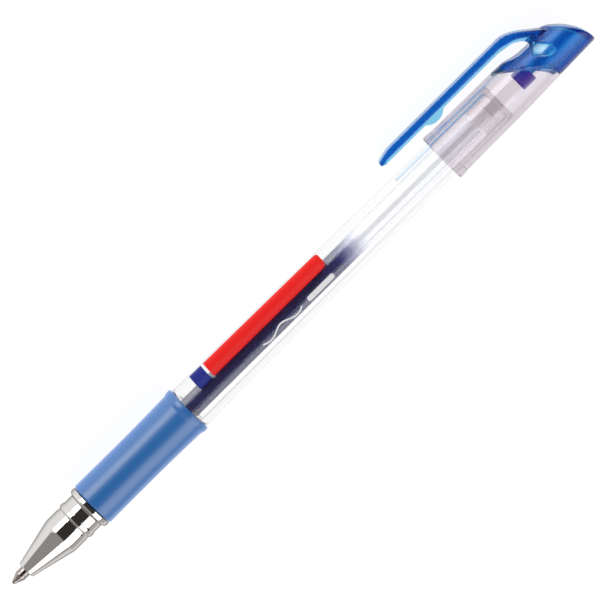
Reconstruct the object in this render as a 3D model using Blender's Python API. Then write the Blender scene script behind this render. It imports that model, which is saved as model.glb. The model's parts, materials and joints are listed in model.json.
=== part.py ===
"""A capped gel rollerball pen, lying on a surface with its cap posted on the rear of the barrel.

Every piece is modelled in the pen's own frame: X runs along the pen from the writing ball to the crown,
Z points from the pen's axis to its pocket clip, and Y runs across the clip. One empty, pen_frame, then
lays the pen down on its grip, its cap mouth and one long edge of its clip.
"""

from math import asin, atan2, cos, hypot, pi, sin, sqrt

import bmesh
import bpy
from mathutils import Vector

MM = 0.001
ROUND_SEGMENTS = 40
SMALL_SEGMENTS = 24

# Lengths along the pen, in millimetres from the front of the writing ball.
NOSE_FRONT = 3.75
CONE_END = 13.4
SNAP_BEAD_START = 17.4
SNAP_BEAD_END = 18.8
FLANGE_START = 20.9
FLANGE_END = 22.3
NOSE_SPIGOT_END = 29.0
GRIP_START = 22.5
GRIP_END = 49.8
BARREL_SHOULDER = 50.1
PLUG_START = 130.6
BARREL_END = 136.0
PLUG_END = 137.2
CAP_MOUTH = 120.9
SEAL_START = 142.2
SEAL_END = 145.6
CROWN_END = 159.6
CLIP_TIP = 111.2

# Radii, in millimetres.
BALL_R = 0.35
SHANK_R = 1.17
NOSE_CYLINDER_R = 4.18
SNAP_BEAD_R = 4.4
FLANGE_R = 4.94
GRIP_R = 5.06
REST_R = 5.46
BARREL_FRONT_R = 4.9
BARREL_REAR_R = 4.2
BARREL_NECK_R = 4.2
BARREL_BORE_R = 3.4
BARREL_REAR_BORE_R = 3.2
CAP_FRONT_R = 5.3
CAP_REAR_R = 4.85
CAP_BORE_R = 4.45
CAP_REAR_BORE_R = 4.1
CROWN_END_R = 4.6
CROWN_BORE_R = 3.5
SEAL_R = 2.0
STEM_R = 1.3
STEM_PEG_R = 0.8
REFILL_R = 2.4
INK_R = 1.72

# The refill, front to back.
BALL_CLEARANCE = 0.035
POINT_RIM = 0.22
POINT_CONE_END = 2.05
SHANK_END = 6.35
POINT_STEM_END = 10.0
HOLDER_START = 6.5
HOLDER_SHOULDER = 12.0
HOLDER_END = 17.0
REFILL_END = 130.2
INK_START = 17.2
INK_END = 92.0
FOLLOWER_END = 96.5

# The pocket clip, as heights above the pen's axis.
CLIP_OUTER = 9.1
CLIP_THICKNESS = 1.16
CLIP_HALF_WIDTH = 2.3
CLIP_RIB_DEPTH = 0.7
CLIP_RIB_HALF_WIDTH = 0.5
CLIP_BUMP_X = 125.8
CLIP_BUMP_LOW = 6.0
CLIP_BUMP_R = 3.3
CLIP_PIVOT_X = 146.0
CLIP_PIVOT_GAP = 0.2
WEB_HALF_WIDTH = 0.6

# Clearances between pieces.
GAP = 0.15
SLIDING_GAP = 0.05

# The slanted, bowed seam between clear cap and blue crown, and the crown's slanted end.
SEAM_LOW_X = 149.7
SEAM_LOW_Z = -4.85
SEAM_BOW = 0.108
SPIGOT_LENGTH = 2.6
END_LOW_Z = -4.2
END_BOW = 0.075
CROWN_END_WALL = 1.5


def clear_scene():
    """Removes every object that the scene starts with."""
    for obj in list(bpy.data.objects):
        bpy.data.objects.remove(obj, do_unlink=True)


def make_material(name, colour, roughness, metallic=0.0, alpha=1.0, transmission=0.0):
    """A Principled material with the given colour and surface."""
    material = bpy.data.materials.new(name)
    material.use_nodes = True
    shader = material.node_tree.nodes["Principled BSDF"]
    shader.inputs["Base Color"].default_value = (*colour, 1.0)
    shader.inputs["Roughness"].default_value = roughness
    shader.inputs["Metallic"].default_value = metallic
    shader.inputs["Alpha"].default_value = alpha
    shader.inputs["Transmission Weight"].default_value = transmission
    material.diffuse_color = (*colour, alpha)
    return material


def finish_mesh(name, bm, material, parent, origin=(0.0, 0.0, 0.0)):
    """Makes an object from a mesh built in millimetres, with its origin at the given point of the pen's frame."""
    bmesh.ops.remove_doubles(bm, verts=bm.verts, dist=1e-4)
    bmesh.ops.recalc_face_normals(bm, faces=bm.faces)
    bmesh.ops.translate(bm, vec=-Vector(origin), verts=bm.verts)
    bmesh.ops.scale(bm, vec=(MM, MM, MM), verts=bm.verts)
    mesh = bpy.data.meshes.new(name)
    bm.to_mesh(mesh)
    bm.free()
    mesh.shade_smooth()
    mesh.set_sharp_from_angle(angle=0.6)
    mesh.materials.append(material)
    obj = bpy.data.objects.new(name, mesh)
    bpy.context.scene.collection.objects.link(obj)
    obj.parent = parent
    obj.location = Vector(origin) * MM
    return obj


def turned(name, profile, material, parent, segments=ROUND_SEGMENTS, origin=(0.0, 0.0, 0.0)):
    """A solid turned about the pen's axis from (x, radius) points that form a loop, or run from axis to axis."""
    bm = bmesh.new()
    verts = [bm.verts.new((x, 0.0, radius)) for x, radius in profile]
    edges = [bm.edges.new(pair) for pair in zip(verts, verts[1:])]
    if profile[0][1] > 0.0:
        edges.append(bm.edges.new((verts[-1], verts[0])))
    bmesh.ops.spin(
        bm,
        geom=verts + edges,
        cent=(0.0, 0.0, 0.0),
        axis=(1.0, 0.0, 0.0),
        angle=2.0 * pi,
        steps=segments,
        use_merge=True,
    )
    return finish_mesh(name, bm, material, parent, origin)


def extruded(name, outline, low_y, high_y, material, parent, origin=(0.0, 0.0, 0.0)):
    """A plate with the given (x, z) outline that spans from low_y to high_y."""
    bm = bmesh.new()
    face = bm.faces.new([bm.verts.new((x, low_y, z)) for x, z in outline])
    side = bmesh.ops.extrude_face_region(bm, geom=[face])
    moved = [item for item in side["geom"] if isinstance(item, bmesh.types.BMVert)]
    bmesh.ops.translate(bm, vec=(0.0, high_y - low_y, 0.0), verts=moved)
    return finish_mesh(name, bm, material, parent, origin)


def boolean(obj, other, operation):
    """Cuts or joins a helper object, which then stays out of the render."""
    modifier = obj.modifiers.new(f"{operation.lower()}_{other.name}", "BOOLEAN")
    modifier.operation = operation
    modifier.object = other
    modifier.solver = "EXACT"
    other.hide_render = True
    other.display_type = "WIRE"


def arc(centre_x, centre_r, radius, start, end, steps):
    """Points on a circular arc, from the start angle to the end angle in radians."""
    turn = [start + (end - start) * i / steps for i in range(steps + 1)]
    return [(centre_x + radius * cos(a), centre_r + radius * sin(a)) for a in turn]


def spread(low, high, steps):
    """Evenly spaced numbers from low to high."""
    return [low + (high - low) * i / steps for i in range(steps + 1)]


def between(x, start, end):
    """The height at x of the straight line between two (x, height) points."""
    return start[1] + (end[1] - start[1]) * (x - start[0]) / (end[0] - start[0])


def cap_bore(x):
    """The radius of the clear cap's bore at x."""
    return between(x, (CAP_MOUTH, CAP_BORE_R), (SEAM_LOW_X, CAP_REAR_BORE_R))


def seam_x(z):
    """Where the blue crown meets the clear cap, at height z."""
    return SEAM_LOW_X - SEAM_BOW * (z - SEAM_LOW_Z) ** 2


def end_x(z):
    """Where the crown's slanted end lies, at height z."""
    return CROWN_END - END_BOW * (z - END_LOW_Z) ** 2


def seam_outline(shift, front):
    """An outline that covers everything in front of, or behind, the seam moved along X by shift."""
    reach = 8.0
    far = 100.0 if front else 200.0
    curve = [(seam_x(z) + shift, z) for z in spread(-reach, reach, 24)]
    return curve + [(far, reach), (far, -reach)]


def build_nose(metal, frame):
    """The polished metal nose cone, with its snap bead, its flange and the spigot that holds it in the barrel."""
    outer = [
        (NOSE_FRONT, 1.3),
        (NOSE_FRONT, 1.55),
        (NOSE_FRONT + 0.15, 1.8),
        (NOSE_FRONT + 0.5, 1.95),
        (CONE_END - 0.2, 4.08),
        (CONE_END + 0.4, NOSE_CYLINDER_R),
        (SNAP_BEAD_START, NOSE_CYLINDER_R),
        (SNAP_BEAD_START + 0.3, SNAP_BEAD_R),
        (SNAP_BEAD_END - 0.3, SNAP_BEAD_R),
        (SNAP_BEAD_END, NOSE_CYLINDER_R + 0.04),
        (FLANGE_START, NOSE_CYLINDER_R + 0.04),
        (FLANGE_START + 0.3, 4.7),
        (FLANGE_START + 0.8, FLANGE_R),
        (FLANGE_END, FLANGE_R),
        (FLANGE_END, BARREL_BORE_R - 0.1),
        (NOSE_SPIGOT_END, BARREL_BORE_R - 0.1),
    ]
    inner = [
        (NOSE_SPIGOT_END, 2.75),
        (9.9, 2.75),
        (8.9, 2.1),
        (6.3, 2.1),
        (6.1, 1.25),
    ]
    return turned("nose_cone", outer + inner, metal, frame)


def build_grip(rubber, frame):
    """The rubber grip sleeve over the barrel's neck, with its raised rear lip."""
    inside = BARREL_NECK_R + SLIDING_GAP
    profile = [
        (GRIP_START, inside),
        (GRIP_START, 4.75),
        (GRIP_START + 0.15, 4.95),
        (GRIP_START + 0.45, GRIP_R),
        (36.0, 5.01),
        (46.5, 5.12),
        (48.0, 5.2),
        (48.4, 5.38),
        (48.8, REST_R),
        (49.4, REST_R),
        (GRIP_END, 5.3),
        (GRIP_END, inside),
    ]
    return turned("grip_sleeve", profile, rubber, frame)


def build_barrel(clear, plug_material, frame):
    """The clear barrel tube with its narrower neck, and the plug that closes its rear end."""
    tube = [
        (GRIP_START, BARREL_BORE_R),
        (GRIP_START, BARREL_NECK_R),
        (GRIP_END + 0.1, BARREL_NECK_R),
        (BARREL_SHOULDER, BARREL_FRONT_R - 0.1),
        (BARREL_SHOULDER + 0.3, BARREL_FRONT_R),
        (108.0, 4.3),
        (BARREL_END - 0.2, BARREL_REAR_R),
        (BARREL_END, BARREL_REAR_R - 0.15),
        (BARREL_END, BARREL_REAR_BORE_R),
    ]
    turned("barrel_tube", tube, clear, frame)
    plug = [
        (PLUG_START, 2.7),
        (PLUG_START, BARREL_REAR_BORE_R - SLIDING_GAP),
        (BARREL_END + GAP, BARREL_REAR_BORE_R - SLIDING_GAP),
        (BARREL_END + GAP, BARREL_REAR_R - 0.1),
        (PLUG_END - 0.3, BARREL_REAR_R - 0.1),
        (PLUG_END, BARREL_REAR_R - 0.5),
        (PLUG_END, 0.5),
        (PLUG_END - 1.0, 0.5),
        (PLUG_END - 1.6, 2.7),
    ]
    turned("barrel_end_plug", plug, plug_material, frame)


def build_point(metal, ball_metal, frame):
    """The metal writing point and the free ball in its seat."""
    seat = BALL_R + BALL_CLEARANCE
    channel = 0.3
    rim_angle = asin((POINT_RIM - BALL_R) / seat)
    back_angle = asin(sqrt(seat**2 - channel**2) / seat)
    turns = spread(back_angle, rim_angle, 5)
    seat_arc = [(BALL_R + seat * sin(a), seat * cos(a)) for a in turns]
    point = seat_arc + [
        (POINT_RIM, 0.44),
        (POINT_CONE_END, SHANK_R - 0.04),
        (POINT_CONE_END + 0.1, SHANK_R),
        (SHANK_END, SHANK_R),
        (SHANK_END, 0.8),
        (POINT_STEM_END, 0.8),
        (POINT_STEM_END, channel),
    ]
    turned("point_body", point, metal, frame, SMALL_SEGMENTS)
    bm = bmesh.new()
    bmesh.ops.create_uvsphere(bm, u_segments=16, v_segments=10, radius=BALL_R)
    bmesh.ops.translate(bm, vec=(BALL_R, 0.0, 0.0), verts=bm.verts)
    finish_mesh("point_ball", bm, ball_metal, frame, (BALL_R, 0.0, 0.0))


def build_refill(holder_material, tube_material, ink, grease, frame):
    """The ink tube, the holder that joins it to the point, the ink and the grease plug behind the ink."""
    holder = [
        (HOLDER_START, 0.85),
        (HOLDER_START, 1.95),
        (9.1, 1.95),
        (10.2, 2.55),
        (HOLDER_SHOULDER, 2.55),
        (HOLDER_SHOULDER, INK_R - SLIDING_GAP),
        (HOLDER_END, INK_R - SLIDING_GAP),
        (HOLDER_END, 0.85),
    ]
    turned("tip_holder", holder, holder_material, frame, SMALL_SEGMENTS)
    start = HOLDER_SHOULDER + GAP
    tube = [(start, INK_R), (start, REFILL_R), (REFILL_END, REFILL_R), (REFILL_END, INK_R)]
    turned("refill_tube", tube, tube_material, frame, SMALL_SEGMENTS)
    fill = INK_R - SLIDING_GAP
    ink_profile = [(INK_START, 0.0), (INK_START, fill), (INK_END, fill), (INK_END, 0.0)]
    turned("ink_column", ink_profile, ink, frame, SMALL_SEGMENTS)
    follower_start = INK_END + GAP
    follower = [
        (follower_start, 0.0),
        (follower_start, fill),
        (FOLLOWER_END, fill),
        (FOLLOWER_END - 0.6, 0.0),
    ]
    turned("ink_follower", follower, grease, frame, SMALL_SEGMENTS)


def build_cap_tube(clear, frame):
    """The clear cap, with a beaded mouth, three inner snap rings and a bowed seam at the crown."""
    tail = SEAM_LOW_X + 3.0
    outer = arc(CAP_MOUTH + 0.75, REST_R - 0.75, 0.75, pi, 0.5 * pi, 4) + [
        (CAP_MOUTH + 1.4, REST_R),
        (CAP_MOUTH + 1.9, CAP_FRONT_R + 0.02),
        (138.0, 5.12),
        (tail, CAP_REAR_R - 0.05),
    ]
    inner = [(tail, cap_bore(tail))]
    for ring in (126.2, 124.2, 122.6):
        inner += [
            (ring + 0.35, cap_bore(ring + 0.35)),
            (ring + 0.1, cap_bore(ring) - 0.1),
            (ring - 0.1, cap_bore(ring) - 0.1),
            (ring - 0.35, cap_bore(ring - 0.35)),
        ]
    inner += [(CAP_MOUTH + 0.3, CAP_BORE_R), (CAP_MOUTH, CAP_BORE_R + 0.15)]
    cap = turned("cap_tube", outer + inner, clear, frame)
    rear = extruded("seam_cutter", seam_outline(0.0, False), -8.0, 8.0, clear, frame)
    boolean(cap, rear, "DIFFERENCE")


def crown_cavity(blue, frame):
    """A helper in the shape of the crown's hollow, whose rear end follows the crown's own slanted end."""
    start = 120.0
    bm = bmesh.new()
    made = bmesh.ops.create_cone(
        bm,
        cap_ends=True,
        cap_tris=True,
        segments=ROUND_SEGMENTS,
        radius1=CROWN_BORE_R,
        radius2=CROWN_BORE_R,
        depth=2.0,
    )
    for vert in made["verts"]:
        across, up, along = vert.co.y, vert.co.x, vert.co.z
        end = end_x(up) - CROWN_END_WALL
        vert.co = (end if along > 0.0 else start, across, up)
    return finish_mesh("cavity_cutter", bm, blue, frame)


def build_crown(blue, frame):
    """The hollow blue crown: its slanted end, its spigot in the cap, the root of the clip and the seal's stem."""
    body = [
        (130.0, 0.0),
        (130.0, 5.2),
        (138.0, 5.12),
        (SEAM_LOW_X, CAP_REAR_R),
        (CROWN_END + 1.0, CROWN_END_R),
        (CROWN_END + 1.0, 0.0),
    ]
    crown = turned("cap_crown", body, blue, frame)
    boolean(crown, extruded("crown_front_cutter", seam_outline(GAP, True), -8.0, 8.0, blue, frame), "DIFFERENCE")
    spigot_start = 125.0
    spigot = [
        (spigot_start, 0.0),
        (spigot_start, cap_bore(spigot_start) - SLIDING_GAP),
        (SEAM_LOW_X + 2.0, cap_bore(SEAM_LOW_X + 2.0) - SLIDING_GAP),
        (SEAM_LOW_X + 2.0, 0.0),
    ]
    ring = turned("spigot_helper", spigot, blue, frame)
    boolean(
        ring,
        extruded("spigot_cutter", seam_outline(-SPIGOT_LENGTH, True), -8.0, 8.0, blue, frame),
        "DIFFERENCE",
    )
    boolean(crown, ring, "UNION")
    end_curve = [(end_x(z), z) for z in spread(-8.0, 8.0, 24)]
    end_outline = end_curve + [(175.0, 8.0), (175.0, -8.0)]
    boolean(crown, extruded("end_cutter", end_outline, -8.0, 8.0, blue, frame), "DIFFERENCE")
    trough = [(143.6, 6.0), (145.2, 4.05), (149.2, 4.0), (149.5, 6.0)]
    boolean(crown, extruded("trough_cutter", trough, -6.0, 6.0, blue, frame), "DIFFERENCE")
    for side in (-1, 1):
        outline = arc(147.9, 3.4, 1.3, 0.25 * pi, 1.25 * pi, 6) + arc(151.1, 0.9, 1.3, -0.75 * pi, 0.25 * pi, 6)
        edges = sorted((side * 3.75, side * 6.0))
        scoop = extruded(f"scoop_cutter_{'left' if side < 0 else 'right'}", outline, *edges, blue, frame)
        boolean(crown, scoop, "DIFFERENCE")
    boolean(crown, clip_root(blue, frame), "UNION")
    boolean(crown, crown_web(blue, frame), "UNION")
    boolean(crown, crown_cavity(blue, frame), "DIFFERENCE")
    stem = [
        (SEAL_END - 1.2, 0.0),
        (SEAL_END - 1.2, STEM_PEG_R),
        (SEAL_END + GAP, STEM_PEG_R),
        (SEAL_END + GAP, STEM_R),
        (CROWN_END - 2.0, STEM_R + 0.15),
        (CROWN_END - 2.0, 0.0),
    ]
    boolean(crown, turned("stem_helper", stem, blue, frame, SMALL_SEGMENTS), "UNION")


def clip_root(blue, frame):
    """The wide flange that runs from the clip's pivot down to the crown's end."""
    pivot_z = CLIP_OUTER - 0.5 * CLIP_THICKNESS
    reach = 0.5 * CLIP_THICKNESS + CLIP_PIVOT_GAP
    socket = [
        (CLIP_PIVOT_X + reach * cos(a), pivot_z + reach * sin(a)) for a in spread(-0.9, 0.75, 6)
    ]
    outline = socket + [
        (147.4, 8.75),
        (149.0, 7.8),
        (151.4, 6.0),
        (153.0, 4.75),
        (154.6, 3.3),
        (154.0, 2.4),
        (152.2, 3.9),
        (150.6, 5.1),
        (148.3, 6.8),
    ]
    return extruded("clip_root_helper", outline, -CLIP_HALF_WIDTH, CLIP_HALF_WIDTH, blue, frame)


def crown_web(blue, frame):
    """The thin web under the clip's root, which ties it to the crown's body."""
    outline = [(149.2, 7.0), (149.2, 3.6), (154.0, 1.0), (154.2, 2.8), (151.0, 5.8)]
    return extruded("web_helper", outline, -WEB_HALF_WIDTH, WEB_HALF_WIDTH, blue, frame)


def build_seal(elastomer, frame):
    """The soft plug in the cap that closes the point when the pen is capped."""
    profile = [
        (SEAL_START + 0.5, 0.0),
        (SEAL_START + 0.3, 0.7),
        (SEAL_START, 1.1),
        (SEAL_START, SEAL_R - 0.25),
        (SEAL_START + 0.25, SEAL_R),
        (SEAL_END, SEAL_R),
        (SEAL_END, STEM_PEG_R + SLIDING_GAP),
        (SEAL_END - 1.2 - GAP, STEM_PEG_R + SLIDING_GAP),
        (SEAL_END - 1.2 - GAP, 0.0),
    ]
    turned("tip_seal", profile, elastomer, frame, SMALL_SEGMENTS)


def build_clip(blue, frame):
    """The spring arm of the pocket clip: a wide flange over a thin rib, with a round bump that grips cloth."""
    half = 0.5 * CLIP_THICKNESS
    pivot = (CLIP_PIVOT_X, 0.0, CLIP_OUTER - half)
    inner = CLIP_OUTER - CLIP_THICKNESS
    flange = arc(CLIP_PIVOT_X, pivot[2], half, -0.5 * pi, 0.5 * pi, 8) + [
        (114.6, CLIP_OUTER),
        (112.6, 8.75),
        (111.5, 8.35),
        (CLIP_TIP, 7.95),
        (CLIP_TIP + 0.1, 7.6),
        (CLIP_TIP + 0.5, 7.4),
        (113.0, inner),
    ]
    clip = extruded("pocket_clip", flange, -CLIP_HALF_WIDTH, CLIP_HALF_WIDTH, blue, frame, pivot)
    rib_low = inner - CLIP_RIB_DEPTH
    bump_centre = CLIP_BUMP_LOW + CLIP_BUMP_R
    spread_angle = asin((bump_centre - rib_low) / CLIP_BUMP_R)
    bump = arc(CLIP_BUMP_X, bump_centre, CLIP_BUMP_R, spread_angle - pi, -spread_angle, 10)
    rib = [(112.6, inner + 0.4), (112.9, inner), (114.2, rib_low)] + bump
    rib += [(142.5, rib_low), (143.4, inner), (143.4, inner + 0.4)]
    ridge = extruded("rib_helper", rib, -CLIP_RIB_HALF_WIDTH, CLIP_RIB_HALF_WIDTH, blue, frame, pivot)
    boolean(clip, ridge, "UNION")


def lay_down(frame):
    """Rolls the pen onto its clip's edge and centres it over the origin, with its lowest points at zero."""
    corner = hypot(CLIP_OUTER, CLIP_HALF_WIDTH)
    dip = asin(REST_R / corner) - atan2(CLIP_HALF_WIDTH, CLIP_OUTER)
    frame.rotation_euler = (-(0.5 * pi + dip), 0.0, 0.0)
    clip_side = CLIP_OUTER * cos(dip) + CLIP_HALF_WIDTH * sin(dip)
    frame.location = (-0.5 * CROWN_END * MM, -0.5 * (clip_side - REST_R) * MM, REST_R * MM)


def main():
    """Builds every piece of the pen under its frame."""
    clear_scene()
    frame = bpy.data.objects.new("pen_frame", None)
    bpy.context.scene.collection.objects.link(frame)
    chrome = make_material("polished_chrome", (0.78, 0.77, 0.76), 0.08, metallic=1.0)
    carbide = make_material("carbide_ball", (0.45, 0.45, 0.47), 0.15, metallic=1.0)
    steel = make_material("point_steel", (0.72, 0.71, 0.69), 0.2, metallic=1.0)
    rubber = make_material("blue_rubber", (0.045, 0.16, 0.5), 0.45)
    clear = make_material("clear_styrene", (0.93, 0.94, 0.96), 0.05, alpha=0.35, transmission=1.0)
    cap_clear = make_material("clear_cap", (0.88, 0.85, 0.9), 0.05, alpha=0.35, transmission=1.0)
    frosted = make_material("natural_polypropylene", (0.85, 0.87, 0.9), 0.3, alpha=0.5, transmission=0.7)
    plug_plastic = make_material("end_plug_plastic", (0.86, 0.87, 0.9), 0.15, alpha=0.5, transmission=0.8)
    holder_plastic = make_material("holder_plastic", (0.82, 0.83, 0.85), 0.35)
    ink = make_material("blue_gel_ink", (0.02, 0.02, 0.2), 0.2)
    grease = make_material("follower_grease", (0.75, 0.76, 0.82), 0.3, alpha=0.6, transmission=0.6)
    blue = make_material("blue_crown", (0.0, 0.13, 0.46), 0.08, alpha=0.75, transmission=0.6)
    elastomer = make_material("seal_elastomer", (0.06, 0.03, 0.3), 0.5)
    build_nose(chrome, frame)
    build_grip(rubber, frame)
    build_barrel(clear, plug_plastic, frame)
    build_point(steel, carbide, frame)
    build_refill(holder_plastic, frosted, ink, grease, frame)
    build_cap_tube(cap_clear, frame)
    build_crown(blue, frame)
    build_seal(elastomer, frame)
    build_clip(blue, frame)
    lay_down(frame)


main()
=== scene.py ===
"""The finished look of a capped gel rollerball pen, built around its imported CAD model.

Every piece is shaped in the pen's own frame, in millimetres: X runs from the writing ball to the
crown, Z points from the pen's axis to its pocket clip, and Y runs across the clip. PenFrame then
lays it where the model lies.
"""

import json
import logging
import math
from dataclasses import dataclass, field
from enum import Enum
from typing import Iterable, Sequence

import bmesh
import bpy
from mathutils import Matrix, Vector


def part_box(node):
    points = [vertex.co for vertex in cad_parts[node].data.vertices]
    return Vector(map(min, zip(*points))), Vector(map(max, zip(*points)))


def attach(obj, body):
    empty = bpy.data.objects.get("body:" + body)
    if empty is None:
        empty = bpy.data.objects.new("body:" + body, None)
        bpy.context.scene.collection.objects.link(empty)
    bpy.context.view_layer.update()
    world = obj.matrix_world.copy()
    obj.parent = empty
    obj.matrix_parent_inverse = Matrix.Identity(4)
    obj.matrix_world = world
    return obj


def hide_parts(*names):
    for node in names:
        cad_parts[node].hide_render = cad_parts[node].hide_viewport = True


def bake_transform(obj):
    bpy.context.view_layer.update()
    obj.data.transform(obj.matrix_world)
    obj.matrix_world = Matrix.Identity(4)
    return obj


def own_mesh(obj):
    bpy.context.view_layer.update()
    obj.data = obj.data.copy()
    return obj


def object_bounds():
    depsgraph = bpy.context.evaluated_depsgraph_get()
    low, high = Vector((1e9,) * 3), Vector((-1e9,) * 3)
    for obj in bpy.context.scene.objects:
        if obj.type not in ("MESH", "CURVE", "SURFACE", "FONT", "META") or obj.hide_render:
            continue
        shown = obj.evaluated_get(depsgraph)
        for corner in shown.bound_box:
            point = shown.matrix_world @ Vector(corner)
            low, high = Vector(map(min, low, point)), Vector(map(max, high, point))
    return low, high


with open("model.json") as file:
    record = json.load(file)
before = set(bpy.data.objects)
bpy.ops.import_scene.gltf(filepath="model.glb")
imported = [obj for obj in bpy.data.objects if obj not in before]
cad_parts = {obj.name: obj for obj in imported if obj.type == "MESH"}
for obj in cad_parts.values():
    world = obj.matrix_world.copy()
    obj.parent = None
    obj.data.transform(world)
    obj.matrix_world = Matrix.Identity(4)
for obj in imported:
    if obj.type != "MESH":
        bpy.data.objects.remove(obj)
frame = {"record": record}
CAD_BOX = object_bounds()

LOG = logging.getLogger("gel_pen")
MM = 0.001
FULL_TURN = 2.0 * math.pi
ALONG = Vector((1.0, 0.0, 0.0))
UPWARDS = Vector((0.0, 0.0, 1.0))
LIGHT_BOUNCES = 24

Point = tuple[float, float]


class Shade(Enum):
    """How a finish lets lamps through."""

    SOLID = "solid"
    LETS_LAMPS_THROUGH = "lets_lamps_through"


class Body(Enum):
    """The moving bodies of the pen."""

    BARREL = "barrel"
    NOSE = "nose"
    REFILL = "refill"
    BALL = "ball"
    FOLLOWER = "follower"
    CAP = "cap"
    CLIP = "clip"


@dataclass(frozen=True)
class PenFrame:
    """The pen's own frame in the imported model.

    Attributes:
        start: the front of the writing ball, on the pen's axis, in metres.
        clip_way: the direction from the axis to the pocket clip.
        spans: where each measured node starts and ends along the pen, in millimetres.
    """

    start: Vector
    clip_way: Vector
    spans: dict[str, Point] = field(default_factory=dict)

    @classmethod
    def of_model(cls) -> "PenFrame":
        """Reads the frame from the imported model.

        Returns:
            The frame of the pen as it lies at rest.
        """
        ball_low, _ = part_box("point_ball")
        grip_low, grip_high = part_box("grip_sleeve")
        middle = (grip_low + grip_high) / 2.0
        mounts = {mount["name"]: mount for mount in frame["record"]["mounts"]}
        clip_way = Vector(mounts["clip_outer_face"]["axis"]).normalized()
        return cls(Vector((ball_low.x, middle.y, middle.z)), clip_way)

    def matrix(self) -> Matrix:
        """The transform from pen millimetres to the model's metres.

        Returns:
            The transform, which turns, scales and moves.
        """
        across = self.clip_way.cross(ALONG)
        turn = Matrix((ALONG, across, self.clip_way)).transposed().to_4x4()
        return Matrix.Translation(self.start) @ turn @ Matrix.Scale(MM, 4)

    def span(self, node: str) -> Point:
        """Where a node starts and ends along the pen.

        Args:
            node: the CAD node's name.

        Returns:
            Its lowest and highest place along the pen, in millimetres.
        """
        if node not in self.spans:
            low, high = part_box(node)
            self.spans[node] = ((low.x - self.start.x) / MM, (high.x - self.start.x) / MM)
        return self.spans[node]

    def place(self, x: float, y: float = 0.0, z: float = 0.0) -> Vector:
        """The point of the model at a place in the pen's own frame."""
        return self.matrix() @ Vector((x, y, z))


@dataclass(frozen=True)
class Corner:
    """One corner of an outline.

    Attributes:
        x: its place along the pen.
        r: its distance from the pen's axis, or its height.
        fillet: how far the rounding starts from the corner.
    """

    x: float
    r: float
    fillet: float = 0.0


def rounded(corners: Sequence[Corner], loop: bool = True, steps: int = 6) -> list[Point]:
    """Rounds the corners of an outline, each along a smooth curve.

    Args:
        corners: the outline's corners in order.
        loop: whether the last corner joins the first.
        steps: how many segments each rounding has.

    Returns:
        The outline's points. Each rounding has a point just outside it, which keeps the flats
        beside it flat.
    """
    points: list[Point] = []
    count = len(corners)
    for index, corner in enumerate(corners):
        here = Vector((corner.x, corner.r))
        inner = loop or 0 < index < count - 1
        if corner.fillet <= 0.0 or not inner:
            points.append((here.x, here.y))
            continue
        before = corners[index - 1]
        after = corners[(index + 1) % count]
        back = Vector((before.x, before.r)) - here
        ahead = Vector((after.x, after.r)) - here
        reach = min(corner.fillet, 0.49 * back.length, 0.49 * ahead.length)
        start = here + back.normalized() * reach
        end = here + ahead.normalized() * reach
        hold = 0.12 * reach
        room = 2.3 * reach
        first = start + back.normalized() * hold * (back.length > room)
        last = end + ahead.normalized() * hold * (ahead.length > room)
        if (first - start).length > 0.0:
            points.append((first.x, first.y))
        for step in range(steps + 1):
            t = step / steps
            spot = start * (1 - t) ** 2 + here * 2 * t * (1 - t) + end * t**2
            points.append((spot.x, spot.y))
        if (last - end).length > 0.0:
            points.append((last.x, last.y))
    return points


def turned(outline: Sequence[Point], steps: int = 128) -> bmesh.types.BMesh:
    """Turns an outline about the pen's axis.

    Args:
        outline: (x, radius) points, a loop unless it starts and ends on the axis.
        steps: how many segments the full turn has.

    Returns:
        The turned shape, in pen millimetres.
    """
    mesh = bmesh.new()
    verts = [mesh.verts.new((x, 0.0, r)) for x, r in outline]
    edges = [mesh.edges.new(pair) for pair in zip(verts, verts[1:])]
    if outline[0][1] > 0.0:
        edges.append(mesh.edges.new((verts[-1], verts[0])))
    bmesh.ops.spin(
        mesh,
        geom=verts + edges,
        cent=(0.0, 0.0, 0.0),
        axis=(1.0, 0.0, 0.0),
        angle=FULL_TURN,
        steps=steps,
        use_merge=True,
    )
    close_up(mesh)
    return mesh


def close_up(mesh: bmesh.types.BMesh) -> None:
    """Merges doubled vertices and turns every face outwards."""
    bmesh.ops.remove_doubles(mesh, verts=mesh.verts, dist=1e-5)
    bmesh.ops.recalc_face_normals(mesh, faces=mesh.faces)


def plate(outline: Sequence[Point], low: float, high: float) -> bmesh.types.BMesh:
    """A plate with the given (x, z) outline.

    Args:
        outline: the outline's points.
        low: where the plate starts across the pen.
        high: where it ends.

    Returns:
        The closed plate, in pen millimetres.
    """
    mesh = bmesh.new()
    face = mesh.faces.new([mesh.verts.new((x, low, z)) for x, z in outline])
    made = bmesh.ops.extrude_face_region(mesh, geom=[face])
    moved = [item for item in made["geom"] if isinstance(item, bmesh.types.BMVert)]
    bmesh.ops.translate(mesh, vec=(0.0, high - low, 0.0), verts=moved)
    close_up(mesh)
    return mesh


def add_rows(mesh: bmesh.types.BMesh, places: Iterable[float], way: Vector) -> None:
    """Cuts a mesh across, so that it can bend there.

    Args:
        mesh: the mesh.
        places: how far each cut lies from the origin.
        way: the direction that the cuts are square to.
    """
    for place in places:
        whole = mesh.verts[:] + mesh.edges[:] + mesh.faces[:]
        bmesh.ops.bisect_plane(mesh, geom=whole, plane_co=way * place, plane_no=way)


def evenly(low: float, high: float, steps: int) -> list[float]:
    """Evenly spaced numbers from low to high, both included."""
    return [low + (high - low) * index / steps for index in range(steps + 1)]


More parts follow.
